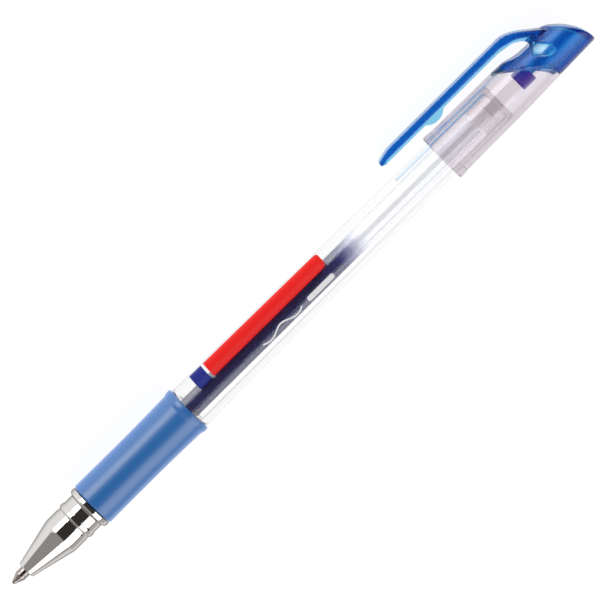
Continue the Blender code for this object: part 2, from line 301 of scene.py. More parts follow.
def arc(centre: Point, radius: float, start: float, end: float, steps: int = 24) -> list[Point]:
    """Points on an arc.

    Args:
        centre: the arc's centre.
        radius: its radius.
        start: its first angle in degrees, from the X axis.
        end: its last angle.
        steps: how many segments it has.

    Returns:
        The points in order, both ends included.
    """
    x, z = centre
    turns = [math.radians(angle) for angle in evenly(start, end, steps)]
    return [(x + radius * math.cos(turn), z + radius * math.sin(turn)) for turn in turns]


@dataclass
class Carving:
    """A closed shape in the making, joined with and cut by others.

    Attributes:
        base: the object that carries the shape.
        tools: the objects that it is joined with or cut by.
    """

    base: bpy.types.Object
    tools: list[bpy.types.Object] = field(default_factory=list)

    @classmethod
    def start(cls, name: str, mesh: bmesh.types.BMesh) -> "Carving":
        """Starts from a closed shape.

        Args:
            name: the carving's name.
            mesh: the shape, which is freed.

        Returns:
            The carving.
        """
        return cls(cls._object(name, mesh))

    @staticmethod
    def _object(name: str, mesh: bmesh.types.BMesh) -> bpy.types.Object:
        """Puts a mesh in an object of the scene.

        Args:
            name: the object's name.
            mesh: the mesh, which is freed.

        Returns:
            The object.
        """
        data = bpy.data.meshes.new(name)
        mesh.to_mesh(data)
        mesh.free()
        obj = bpy.data.objects.new(name, data)
        bpy.context.scene.collection.objects.link(obj)
        return obj

    def _use(self, tool: bpy.types.Object, operation: str) -> None:
        """Joins or cuts the shape with a tool.

        Args:
            tool: the object to join or cut with.
            operation: UNION or DIFFERENCE.
        """
        modifier = self.base.modifiers.new(tool.name, "BOOLEAN")
        modifier.operation = operation
        modifier.solver = "EXACT"
        modifier.object = tool
        self.tools.append(tool)

    def join(self, mesh: bmesh.types.BMesh) -> None:
        """Adds a closed shape."""
        self._use(self._object("added", mesh), "UNION")

    def cut(self, mesh: bmesh.types.BMesh) -> None:
        """Takes a closed shape away."""
        self._use(self._object("taken", mesh), "DIFFERENCE")

    def cut_with(self, other: "Carving") -> None:
        """Takes another carving away."""
        self._use(other.base, "DIFFERENCE")
        self.tools += other.tools

    def result(self, grain: float, passes: int = 3) -> bmesh.types.BMesh:
        """Ends the carving as one even mesh with softened edges.

        Args:
            grain: the mesh's spacing, in millimetres.
            passes: how many times it is smoothed.

        Returns:
            The finished shape.
        """
        remesh = self.base.modifiers.new("even", "REMESH")
        remesh.mode = "VOXEL"
        remesh.voxel_size = grain
        graph = bpy.context.evaluated_depsgraph_get()
        mesh = bmesh.new()
        mesh.from_mesh(self.base.evaluated_get(graph).data)
        for obj in [self.base, *self.tools]:
            bpy.data.objects.remove(obj)
        for _ in range(passes):
            bmesh.ops.smooth_vert(
                mesh,
                verts=mesh.verts,
                factor=0.5,
                use_axis_x=True,
                use_axis_y=True,
                use_axis_z=True,
            )
        close_up(mesh)
        return mesh


class Sheet:
    """Adds nodes to a node tree and joins them.

    Attributes:
        tree: the node tree.
    """

    def __init__(self, tree: bpy.types.NodeTree) -> None:
        """Keeps the tree and its links."""
        self.tree = tree

    def add(
        self, kind: str, settings: dict[str, object] | None = None, **inputs: object
    ) -> bpy.types.Node:
        """Adds a node.

        Args:
            kind: the node's type name, without its ShaderNode prefix.
            settings: values for the node's own properties.
            **inputs: values for its sockets, with underscores for spaces.

        Returns:
            The new node.
        """
        node = self.tree.nodes.new(kind if kind.startswith("Node") else f"ShaderNode{kind}")
        for name, value in (settings or {}).items():
            setattr(node, name, value)
        for name, value in inputs.items():
            node.inputs[name.replace("_", " ")].default_value = value
        return node

    def join(self, source: bpy.types.NodeSocket, target: bpy.types.NodeSocket) -> None:
        """Links an output to an input."""
        self.tree.links.new(source, target)


class SurfaceGroups:
    """The shader node groups that several finishes share.

    Attributes:
        _made: the groups built so far, by name, so that each is built once.
    """

    _made: dict[str, bpy.types.NodeTree] = {}

    @classmethod
    def _start(cls, name: str, inputs: dict[str, float], outputs: Iterable[str]) -> Sheet:
        """Makes an empty group whose sockets are all plain numbers.

        Args:
            name: the group's name.
            inputs: its input names with their default values.
            outputs: its output names.

        Returns:
            The sheet of the new group's tree.
        """
        number = "NodeSocketFloat"
        tree = bpy.data.node_groups.new(name, "ShaderNodeTree")
        for label, value in inputs.items():
            socket = tree.interface.new_socket(label, in_out="INPUT", socket_type=number)
            socket.default_value = value
        for label in outputs:
            tree.interface.new_socket(label, in_out="OUTPUT", socket_type=number)
        cls._made[name] = tree
        return Sheet(tree)

    @classmethod
    def moulded_skin(cls) -> bpy.types.NodeTree:
        """The skin of a moulded or plated piece: slow waves, fine scratches and a varied gloss.

        Returns:
            The group, with Base and Spread for roughness, and Wave and Scratch for relief.
        """
        if "moulded_skin" in cls._made:
            return cls._made["moulded_skin"]
        sheet = cls._start(
            "moulded_skin",
            {"Base": 0.1, "Spread": 0.05, "Wave": 0.1, "Scratch": 0.1},
            ("Roughness", "Height"),
        )
        given = sheet.add("NodeGroupInput")
        result = sheet.add("NodeGroupOutput")
        place = sheet.add("TexCoord")
        stretch = sheet.add("Mapping", Scale=(0.18, 1.0, 1.0))
        sheet.join(place.outputs["Object"], stretch.inputs["Vector"])
        slow = sheet.add("TexNoise", Scale=260.0, Detail=2.0)
        scratch = sheet.add("TexNoise", Scale=5200.0, Detail=3.0, Roughness=0.7)
        smear = sheet.add("TexNoise", Scale=420.0, Detail=4.0, Roughness=0.6)
        sheet.join(place.outputs["Object"], slow.inputs["Vector"])
        sheet.join(stretch.outputs["Vector"], scratch.inputs["Vector"])
        sheet.join(place.outputs["Object"], smear.inputs["Vector"])
        lines = sheet.add("MapRange", From_Min=0.62, From_Max=0.72)
        sheet.join(scratch.outputs["Fac"], lines.inputs["Value"])
        swing = sheet.add("MapRange", From_Min=0.3, From_Max=0.7, To_Min=-0.5, To_Max=0.5)
        sheet.join(smear.outputs["Fac"], swing.inputs["Value"])
        varied = sheet.add("Math", {"operation": "MULTIPLY_ADD"})
        sheet.join(swing.outputs["Result"], varied.inputs[0])
        sheet.join(given.outputs["Spread"], varied.inputs[1])
        sheet.join(given.outputs["Base"], varied.inputs[2])
        sheet.join(varied.outputs[0], result.inputs["Roughness"])
        waves = sheet.add("Math", {"operation": "MULTIPLY"})
        sheet.join(slow.outputs["Fac"], waves.inputs[0])
        sheet.join(given.outputs["Wave"], waves.inputs[1])
        relief = sheet.add("Math", {"operation": "MULTIPLY_ADD"})
        sheet.join(lines.outputs["Result"], relief.inputs[0])
        sheet.join(given.outputs["Scratch"], relief.inputs[1])
        sheet.join(waves.outputs[0], relief.inputs[2])
        sheet.join(relief.outputs[0], result.inputs["Height"])
        return sheet.tree

    @classmethod
    def along_pen(cls) -> bpy.types.NodeTree:
        """A mask that rises from 0 to 1 between two places along the pen.

        Returns:
            The group, with Start and End in metres along the model's X axis, and a Mask.
        """
        if "along_pen" in cls._made:
            return cls._made["along_pen"]
        sheet = cls._start("along_pen", {"Start": 0.0, "End": 0.01}, ("Mask",))
        given = sheet.add("NodeGroupInput")
        result = sheet.add("NodeGroupOutput")
        place = sheet.add("TexCoord")
        axes = sheet.add("SeparateXYZ")
        sheet.join(place.outputs["Object"], axes.inputs["Vector"])
        ramp = sheet.add("MapRange", {"interpolation_type": "SMOOTHSTEP"})
        sheet.join(axes.outputs["X"], ramp.inputs["Value"])
        sheet.join(given.outputs["Start"], ramp.inputs["From Min"])
        sheet.join(given.outputs["End"], ramp.inputs["From Max"])
        sheet.join(ramp.outputs["Result"], result.inputs["Mask"])
        return sheet.tree


@dataclass(frozen=True)
class Finish:
    """A finish with a moulded skin.

    Attributes:
        name: the material's name.
        colour: its base colour.
        roughness: its middle roughness.
        spread: how much its roughness varies.
        wave: the height of its slow waviness, as a share of a hundredth of a millimetre.
        scratch: the height of its fine scratches, on the same scale.
        metallic: 1 for metal.
        ior: its refractive index.
        transmission: 1 for a clear material.
        absorbed: how much of red, green and blue each millimetre takes out, for a clear material.
        shade: how it treats rays from lamps.
        edge: how much of the light a metal keeps at grazing angles.
        gloss: the strength of its mirror reflection, 0.5 for what its refractive index gives.
    """

    name: str
    colour: tuple[float, float, float]
    roughness: float = 0.2
    spread: float = 0.04
    wave: float = 0.05
    scratch: float = 0.05
    metallic: float = 0.0
    ior: float = 1.5
    transmission: float = 0.0
    absorbed: tuple[float, float, float] = (0.0, 0.0, 0.0)
    shade: Shade = Shade.SOLID
    edge: float = 1.0
    gloss: float = 0.5

    def build(self) -> bpy.types.Material:
        """Makes the material.

        Returns:
            The material, with its nodes.
        """
        material = bpy.data.materials.new(self.name)
        material.use_nodes = True
        sheet = Sheet(material.node_tree)
        shader = material.node_tree.nodes["Principled BSDF"]
        shader.inputs["Base Color"].default_value = (*self.colour, 1.0)
        shader.inputs["Metallic"].default_value = self.metallic
        shader.inputs["IOR"].default_value = self.ior
        shader.inputs["Specular IOR Level"].default_value = self.gloss
        shader.inputs["Specular Tint"].default_value = (self.edge, self.edge, self.edge, 1.0)
        shader.inputs["Transmission Weight"].default_value = self.transmission
        skin = sheet.add("Group", {"node_tree": SurfaceGroups.moulded_skin()})
        skin.inputs["Base"].default_value = self.roughness
        skin.inputs["Spread"].default_value = self.spread
        skin.inputs["Wave"].default_value = self.wave
        skin.inputs["Scratch"].default_value = self.scratch
        sheet.join(skin.outputs["Roughness"], shader.inputs["Roughness"])
        relief = sheet.add("Bump", Strength=1.0, Distance=0.01 * MM)
        sheet.join(skin.outputs["Height"], relief.inputs["Height"])
        sheet.join(relief.outputs["Normal"], shader.inputs["Normal"])
        self.dress(sheet, shader)
        if any(self.absorbed):
            self._absorb(sheet)
        if self.shade is Shade.LETS_LAMPS_THROUGH:
            self._let_lamps_through(sheet, shader)
        return material

    def dress(self, sheet: Sheet, shader: bpy.types.Node) -> None:
        """Adds what one finish has of its own. The plain finish adds nothing."""

    def _absorb(self, sheet: Sheet) -> None:
        """Gives a clear material its body colour, by absorption along the light's way.

        Args:
            sheet: the material's node sheet.
        """
        strongest = max(self.absorbed)
        density = 1.05 * strongest / MM
        colour = [1.0 - amount / MM / density for amount in self.absorbed]
        volume = sheet.add("VolumeAbsorption", Color=(*colour, 1.0), Density=density)
        output = sheet.tree.nodes["Material Output"]
        sheet.join(volume.outputs["Volume"], output.inputs["Volume"])

    def _let_lamps_through(self, sheet: Sheet, shader: bpy.types.Node) -> None:
        """Lets rays to the lamps pass straight through, so that clear pieces cast pale shadows.

        Args:
            sheet: the material's node sheet.
            shader: its Principled node.
        """
        path = sheet.add("LightPath")
        passing = sheet.add("BsdfTransparent", Color=self._passed())
        mixed = sheet.add("MixShader")
        sheet.join(path.outputs["Is Shadow Ray"], mixed.inputs["Fac"])
        sheet.join(shader.outputs["BSDF"], mixed.inputs[1])
        sheet.join(passing.outputs["BSDF"], mixed.inputs[2])
        output = sheet.tree.nodes["Material Output"]
        sheet.join(mixed.outputs["Shader"], output.inputs["Surface"])

    def _passed(self) -> tuple[float, float, float, float]:
        """The colour that a ray to a lamp keeps after one surface."""
        red, green, blue = (0.97 * math.exp(-0.5 * amount) for amount in self.absorbed)
        return red, green, blue, 1.0


@dataclass(frozen=True)
class RubberFinish(Finish):
    """A satin rubber with a very fine grain, a soft coat and painted edge light: a brighter, purer
    blue towards its edges.

    Attributes:
        painted_edge_light: its colour at grazing angles, painted light that brightens the edges.
        coat: the strength of its soft coat.
        coat_roughness: the coat's roughness.
    """

    painted_edge_light: tuple[float, float, float] = (0.0, 0.2, 0.7)
    coat: float = 0.6
    coat_roughness: float = 0.36

    def dress(self, sheet: Sheet, shader: bpy.types.Node) -> None:
        """Adds the grain, the soft coat and the painted light on the edges.

        Args:
            sheet: the material's node sheet.
            shader: its Principled node.
        """
        shader.inputs["Coat Weight"].default_value = self.coat
        shader.inputs["Coat Roughness"].default_value = self.coat_roughness
        # Painted edge light: the base colour turns to a brighter blue at grazing angles, standing in
        # for light on the rounded sides.
        facing = sheet.add("LayerWeight", Blend=0.35)
        mixed = sheet.add("MixRGB", Color1=(*self.colour, 1.0), Color2=(*self.painted_edge_light, 1.0))
        sheet.join(facing.outputs["Facing"], mixed.inputs["Fac"])
        sheet.join(mixed.outputs["Color"], shader.inputs["Base Color"])
        place = sheet.add("TexCoord")
        grain = sheet.add("TexNoise", Scale=9000.0, Detail=2.0)
        sheet.join(place.outputs["Object"], grain.inputs["Vector"])
        relief = sheet.add("Bump", Strength=0.25, Distance=0.01 * MM)
        sheet.join(grain.outputs["Fac"], relief.inputs["Height"])
        first = shader.inputs["Normal"].links[0].from_socket
        sheet.join(first, relief.inputs["Normal"])
        sheet.join(relief.outputs["Normal"], shader.inputs["Normal"])


@dataclass(frozen=True)
class FadingFinish(Finish):
    """A finish that thins out along the pen, as ink left on a tube's wall does.

    Attributes:
        fade_start: where it starts to thin, in metres along the model.
        fade_end: where nothing of it is left.
        thin_colour: its colour where it is thin.
    """

    fade_start: float = 0.0
    fade_end: float = 0.01
    thin_colour: tuple[float, float, float] = (0.5, 0.5, 0.6)

    def dress(self, sheet: Sheet, shader: bpy.types.Node) -> None:
        """Adds the fade to the colour and the alpha.

        Args:
            sheet: the material's node sheet.
            shader: its Principled node.
        """
        mask = sheet.add("Group", {"node_tree": SurfaceGroups.along_pen()})
        mask.inputs["Start"].default_value = self.fade_start
        mask.inputs["End"].default_value = self.fade_end
        mixed = sheet.add("MixRGB", Color1=(*self.colour, 1.0), Color2=(*self.thin_colour, 1.0))
        sheet.join(mask.outputs["Mask"], mixed.inputs["Fac"])
        sheet.join(mixed.outputs["Color"], shader.inputs["Base Color"])
        left = sheet.add("Math", {"operation": "SUBTRACT"})
        left.inputs[0].default_value = 1.0
        sheet.join(mask.outputs["Mask"], left.inputs[1])
        sheet.join(left.outputs[0], shader.inputs["Alpha"])


@dataclass(frozen=True)
class Workshop:
    """Turns shaped meshes into placed and dressed pieces.

    Attributes:
        pen: the pen's frame.
        made: the finishes built so far, by name.
    """

    pen: PenFrame
    made: dict[str, bpy.types.Material] = field(default_factory=dict)

    def piece(
        self, name: str, mesh: bmesh.types.BMesh, finish: Finish, sharp: float = 35.0
    ) -> bpy.types.Object:
        """Makes an object of a mesh shaped in pen millimetres.

        Args:
            name: the piece's name.
            mesh: its shape, which is freed.
            finish: its finish.
            sharp: the angle in degrees past which an edge stays sharp.

        Returns:
            The object, with its place in its mesh.
        """
        mesh.transform(self.pen.matrix())
        data = bpy.data.meshes.new(name)
        mesh.to_mesh(data)
        mesh.free()
        data.shade_smooth()
        data.set_sharp_from_angle(angle=math.radians(sharp))
        if finish.name not in self.made:
            self.made[finish.name] = finish.build()
        data.materials.append(self.made[finish.name])
        obj = bpy.data.objects.new(name, data)
        bpy.context.scene.collection.objects.link(obj)
        return obj

    def fit(self, obj: bpy.types.Object, body: Body, nodes: Sequence[str], slot: str) -> None:
        """Makes a piece ride on its body in place of its CAD nodes.

        Args:
            obj: the piece.
            body: the body that it moves with.
            nodes: the CAD nodes that it stands for.
            slot: the record's material slot; not used.
        """
        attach(obj, body.value)
        if nodes:
            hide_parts(*nodes)
        LOG.info("%s rides on %s: %d faces", obj.name, body.value, len(obj.data.polygons))


CHROME = Finish(
    "chrome_plating",
    (0.72, 0.70, 0.685),
    roughness=0.035,
    spread=0.03,
    wave=0.03,
    scratch=0.03,
    metallic=1.0,
    edge=0.3,
)
POINT_STEEL = Finish(
    "drawn_steel",
    (0.42, 0.38, 0.36),
    roughness=0.16,
    spread=0.06,
    wave=0.1,
    scratch=0.3,
    metallic=1.0,
    edge=0.4,
)
CARBIDE = Finish(
    "ground_carbide",
    (0.14, 0.13, 0.13),
    roughness=0.2,
    spread=0.05,
    wave=0.05,
    scratch=0.2,
    metallic=1.0,
    edge=0.2,
)
RUBBER = RubberFinish(
    "satin_rubber",
    (0.014, 0.15, 0.46),
    roughness=0.33,
    spread=0.05,
    wave=0.1,
    scratch=0.05,
    gloss=1.0,
)
CLEAR = Finish(
    "clear_styrene_finish",
    (1.0, 1.0, 1.0),
    roughness=0.02,
    spread=0.02,
    wave=0.05,
    scratch=0.03,
    ior=1.55,
    transmission=1.0,
    absorbed=(0.016, 0.015, 0.013),
    gloss=0.12,
    shade=Shade.LETS_LAMPS_THROUGH,
)
CAP_CLEAR = Finish(
    "tinted_cap_finish",
    (1.0, 1.0, 1.0),
    roughness=0.09,
    spread=0.03,
    wave=0.06,
    scratch=0.04,
    ior=1.5,
    transmission=1.0,
    absorbed=(0.155, 0.2, 0.165),
    gloss=0.2,
    shade=Shade.LETS_LAMPS_THROUGH,
)
PLUG_CLEAR = Finish(
    "clear_plug_finish",
    (1.0, 1.0, 1.0),
    roughness=0.12,
    spread=0.04,
    wave=0.05,
    scratch=0.05,
    ior=1.14,
    transmission=1.0,
    absorbed=(0.05, 0.06, 0.06),
    gloss=0.2,
    shade=Shade.LETS_LAMPS_THROUGH,
)
MILKY = Finish(
    "clear_tube_finish",
    (0.99, 0.99, 1.0),
    roughness=0.08,
    spread=0.04,
    wave=0.1,
    scratch=0.05,
    ior=1.49,
    transmission=1.0,
    absorbed=(0.02, 0.018, 0.012),
    gloss=0.12,
    shade=Shade.LETS_LAMPS_THROUGH,
)
BLUE = Finish(
    "clear_blue_plastic",
    (1.0, 1.0, 1.0),
    roughness=0.27,
    spread=0.05,
    wave=0.08,
    scratch=0.05,
    ior=1.48,
    transmission=1.0,
    absorbed=(1.42, 0.48, 0.16),
    gloss=0.0,
    shade=Shade.LETS_LAMPS_THROUGH,
)
HOLDER = Finish(
    "holder_finish", (0.80, 0.81, 0.83), roughness=0.35, spread=0.08, wave=0.3, scratch=0.2
)
SEAL = Finish(
    "violet_elastomer", (0.07, 0.03, 0.36), roughness=0.45, spread=0.08, wave=0.3, scratch=0.2
)
GEL = Finish(
    "dark_gel",
    (0.042, 0.038, 0.13),
    roughness=0.3,
    spread=0.05,
    wave=0.1,
    scratch=0.0,
    gloss=0.0,
)


def print_finish(name: str, colour: tuple[float, float, float], gloss: float) -> Finish:
    """The finish of one printing ink.

    Args:
        name: the material's name.
        colour: the ink's colour.
        gloss: the strength of its mirror reflection.

    Returns:
        The finish, a thin even film.
    """
    return Finish(name, colour, roughness=0.3, spread=0.05, wave=0.02, scratch=0.03, gloss=gloss)


RED_PRINT = print_finish("red_print", (0.85, 0.005, 0.003), 0.15)
BLUE_PRINT = print_finish("blue_print", (0.008, 0.018, 0.24), 0.15)
WHITE_PRINT = print_finish("white_print", (0.9, 0.9, 0.92), 0.3)


@dataclass
class WritingPoint:
    """The metal point and its free ball, in millimetres.

    Attributes:
        shop: makes the pieces.
        ball_radius: the ball's radius.
        seat_gap: the ink film between the ball and its seat.
        rim_x: where the crimped rim starts.
        rim_radius: the rim's radius.
        shank_radius: the radius of the straight shank.
        collar: where the small collar behind the rim starts, and its radius there.
        cone_end: where the cone meets the shank.
        groove_x: where the shank's groove starts.
        groove_depth: the groove's depth.
        shank_end: where the shank steps down to the stem.
        stem_radius: the radius of the stem in the holder.
        channel_radius: the radius of the ink channel.
    """

    shop: Workshop
    ball_radius: float = 0.35
    seat_gap: float = 0.02
    rim_x: float = 0.22
    rim_radius: float = 0.44
    shank_radius: float = 1.17
    collar: Point = (0.95, 0.62)
    cone_end: float = 2.05
    groove_x: float = 2.6
    groove_depth: float = 0.05
    shank_end: float = 6.35
    stem_radius: float = 0.8
    channel_radius: float = 0.3

    def build(self) -> None:
        """Builds the point and the ball."""
        self._body()
        self._ball()

    def _body(self) -> None:
        """Turns the point: its seat, crimped rim, cone, grooved shank and stem."""
        seat = self.ball_radius + self.seat_gap
        rim = math.asin((self.rim_x - self.ball_radius) / seat)
        back = math.acos(self.channel_radius / seat)
        hollow = [
            (self.ball_radius + seat * math.sin(turn), seat * math.cos(turn))
            for turn in evenly(back, rim, 10)
        ]
        _, end = self.shop.pen.span("point_body")
        groove = self.groove_x
        wall = self.shank_radius
        floor = wall - self.groove_depth
        outside = [
            Corner(self.rim_x, self.rim_radius - 0.03),
            Corner(self.rim_x + 0.1, self.rim_radius + 0.03, 0.03),
            Corner(*self.collar, 0.1),
            Corner(self.collar[0] + 0.05, self.collar[1] + 0.08, 0.03),
            Corner(self.cone_end, wall - 0.03, 0.12),
            Corner(self.cone_end + 0.12, wall, 0.05),
            Corner(groove, wall, 0.02),
            Corner(groove + 0.06, floor, 0.02),
            Corner(groove + 0.14, floor, 0.02),
            Corner(groove + 0.2, wall, 0.02),
            Corner(self.shank_end, wall, 0.08),
            Corner(self.shank_end, self.stem_radius, 0.05),
            Corner(end, self.stem_radius, 0.1),
            Corner(end, self.channel_radius),
        ]
        path = rounded(outside, loop=False, steps=4)
        point = self.shop.piece("writing_point", turned(hollow + path, 72), POINT_STEEL)
        self.shop.fit(point, Body.REFILL, ["point_body"], "point_steel")

    def _ball(self) -> None:
        """Makes the ball."""
        mesh = bmesh.new()
        bmesh.ops.create_icosphere(mesh, subdivisions=4, radius=self.ball_radius)
        bmesh.ops.translate(mesh, vec=(self.ball_radius, 0.0, 0.0), verts=mesh.verts)
        ball = self.shop.piece("writing_ball", mesh, CARBIDE)
        self.shop.fit(ball, Body.BALL, ["point_ball"], "carbide_ball")


@dataclass
class NoseCone:
    """The polished nose: cone, cylinder, snap bead, flange and threaded spigot, in millimetres.

    Attributes:
        shop: makes the pieces.
        mouth_radius: the radius of the hole that the point passes through.
        front_radius: the cone's radius at its rounded front.
        cone_end: where the cone meets the cylinder.
        cylinder_radius: the cylinder's radius.
        bead: where the snap bead starts and ends.
        bead_radius: the bead's radius.
        flange_start: where the flange rises.
        flange_radius: the flange's radius.
        flange_end: where the flange meets the grip.
        spigot_radius: the spigot's radius under its thread.
        thread_pitch: the thread's pitch.
        thread_height: how far its crests stand off the spigot.
        bore_radius: the radius of the wide bore that takes the refill's holder.
        throat_radius: the radius of the narrower bore in front of it.
        steps_x: where the bore steps: at the mouth's end, and from throat to wide bore.
    """

    shop: Workshop
    mouth_radius: float = 1.25
    front_radius: float = 1.85
    cone_end: float = 13.5
    cylinder_radius: float = 4.18
    bead: Point = (17.4, 18.8)
    bead_radius: float = 4.4
    flange_start: float = 20.9
    flange_radius: float = 4.94
    flange_end: float = 22.3
    spigot_radius: float = 3.2
    thread_pitch: float = 0.8
    thread_height: float = 0.12
    bore_radius: float = 2.75
    throat_radius: float = 2.1
    steps_x: tuple[float, float, float] = (6.1, 8.9, 9.9)

    def build(self) -> None:
        """Builds the nose and dresses it in chrome."""
        front, end = self.shop.pen.span("nose_cone")
        low, high = self.bead
        wall = self.cylinder_radius
        outside = [
            Corner(front, self.mouth_radius + 0.06, 0.04),
            Corner(front, self.front_radius, 0.32),
            Corner(self.cone_end, wall, 0.5),
            Corner(low - 0.75, wall, 0.1),
            Corner(low - 0.4, wall - 0.12, 0.12),
            Corner(low, wall - 0.1, 0.1),
            Corner(low + 0.3, self.bead_radius, 0.14),
            Corner(high - 0.3, self.bead_radius, 0.14),
            Corner(high, wall + 0.04, 0.1),
            Corner(self.flange_start, wall + 0.04, 0.16),
            Corner(self.flange_start + 0.35, self.flange_radius, 0.5),
            Corner(self.flange_end, self.flange_radius, 0.06),
            Corner(self.flange_end, self.spigot_radius, 0.1),
        ]
        outside += self._thread(self.flange_end + 0.8, end - 0.5)
        mouth_end, throat_end, bore_start = self.steps_x
        inside = [
            Corner(end, self.spigot_radius, 0.2),
            Corner(end, self.bore_radius, 0.1),
            Corner(bore_start, self.bore_radius, 0.1),
            Corner(throat_end, self.throat_radius, 0.1),
            Corner(mouth_end + 0.2, self.throat_radius, 0.1),
            Corner(mouth_end, self.mouth_radius, 0.05),
            Corner(front + 0.06, self.mouth_radius, 0.03),
        ]
        outline = rounded(outside + inside, steps=7)
        nose = self.shop.piece("nose_cone_shell", turned(outline, 144), CHROME, 30.0)
        self.shop.fit(nose, Body.NOSE, ["nose_cone"], "polished_chrome")

    def _thread(self, start: float, end: float) -> list[Corner]:
        """The crests of the spigot's thread.

        Args:
            start: where the thread starts.
            end: where it ends.

        Returns:
            Three corners for each crest.
        """
        crests: list[Corner] = []
        for turn in range(int((end - start) / self.thread_pitch)):
            at = start + turn * self.thread_pitch
            crests += [
                Corner(at, self.spigot_radius),
                Corner(at + 0.25, self.spigot_radius + self.thread_height, 0.05),
                Corner(at + 0.5, self.spigot_radius),
            ]
        return crests


@dataclass
class GripSleeve:
    """The rubber sleeve, in millimetres.

    Attributes:
        shop: makes the pieces.
        bore_radius: the radius of its bore.
        front_radius: its radius near the nose.
        waist_radius: its radius at its slight waist.
        waist_x: where the waist is.
        rear_radius: its radius before the lip.
        lip: where the lip starts and ends.
        lip_radius: the lip's radius.
    """

    shop: Workshop
    bore_radius: float = 4.25
    front_radius: float = 5.06
    waist_radius: float = 5.0
    waist_x: float = 34.0
    rear_radius: float = 5.2
    lip: Point = (48.0, 49.6)
    lip_radius: float = 5.46

    def build(self) -> None:
        """Builds the sleeve and dresses it in rubber."""
        front, end = self.shop.pen.span("grip_sleeve")
        low, high = self.lip
        swell = [Corner(x, self._radius(x)) for x in evenly(front + 1.0, low - 0.4, 18)]
        outline = rounded(
            [Corner(front, self.bore_radius, 0.05), Corner(front, self.front_radius, 0.5)]
            + swell
            + [
                Corner(low, self.rear_radius, 0.25),
                Corner(low + 0.7, self.lip_radius, 0.3),
                Corner(high, self.lip_radius, 0.22),
                Corner(end, self.lip_radius - 0.25, 0.1),
                Corner(end, self.bore_radius, 0.05),
            ],
            steps=6,
        )
        sleeve = self.shop.piece("rubber_grip", turned(outline, 128), RUBBER, 40.0)
        self.shop.fit(sleeve, Body.BARREL, ["grip_sleeve"], "blue_rubber")

    def _radius(self, x: float) -> float:
        """The sleeve's radius, on a shallow curve through its front, waist and rear.

        Args:
            x: the place along the pen.

        Returns:
            The radius there.
        """
        front, _ = self.shop.pen.span("grip_sleeve")
        if x < self.waist_x:
            share = (self.waist_x - x) / (self.waist_x - front)
            return self.waist_radius + (self.front_radius - self.waist_radius) * share**2
        share = (x - self.waist_x) / (self.lip[0] - self.waist_x)
        return self.waist_radius + (self.rear_radius - self.waist_radius) * share**2


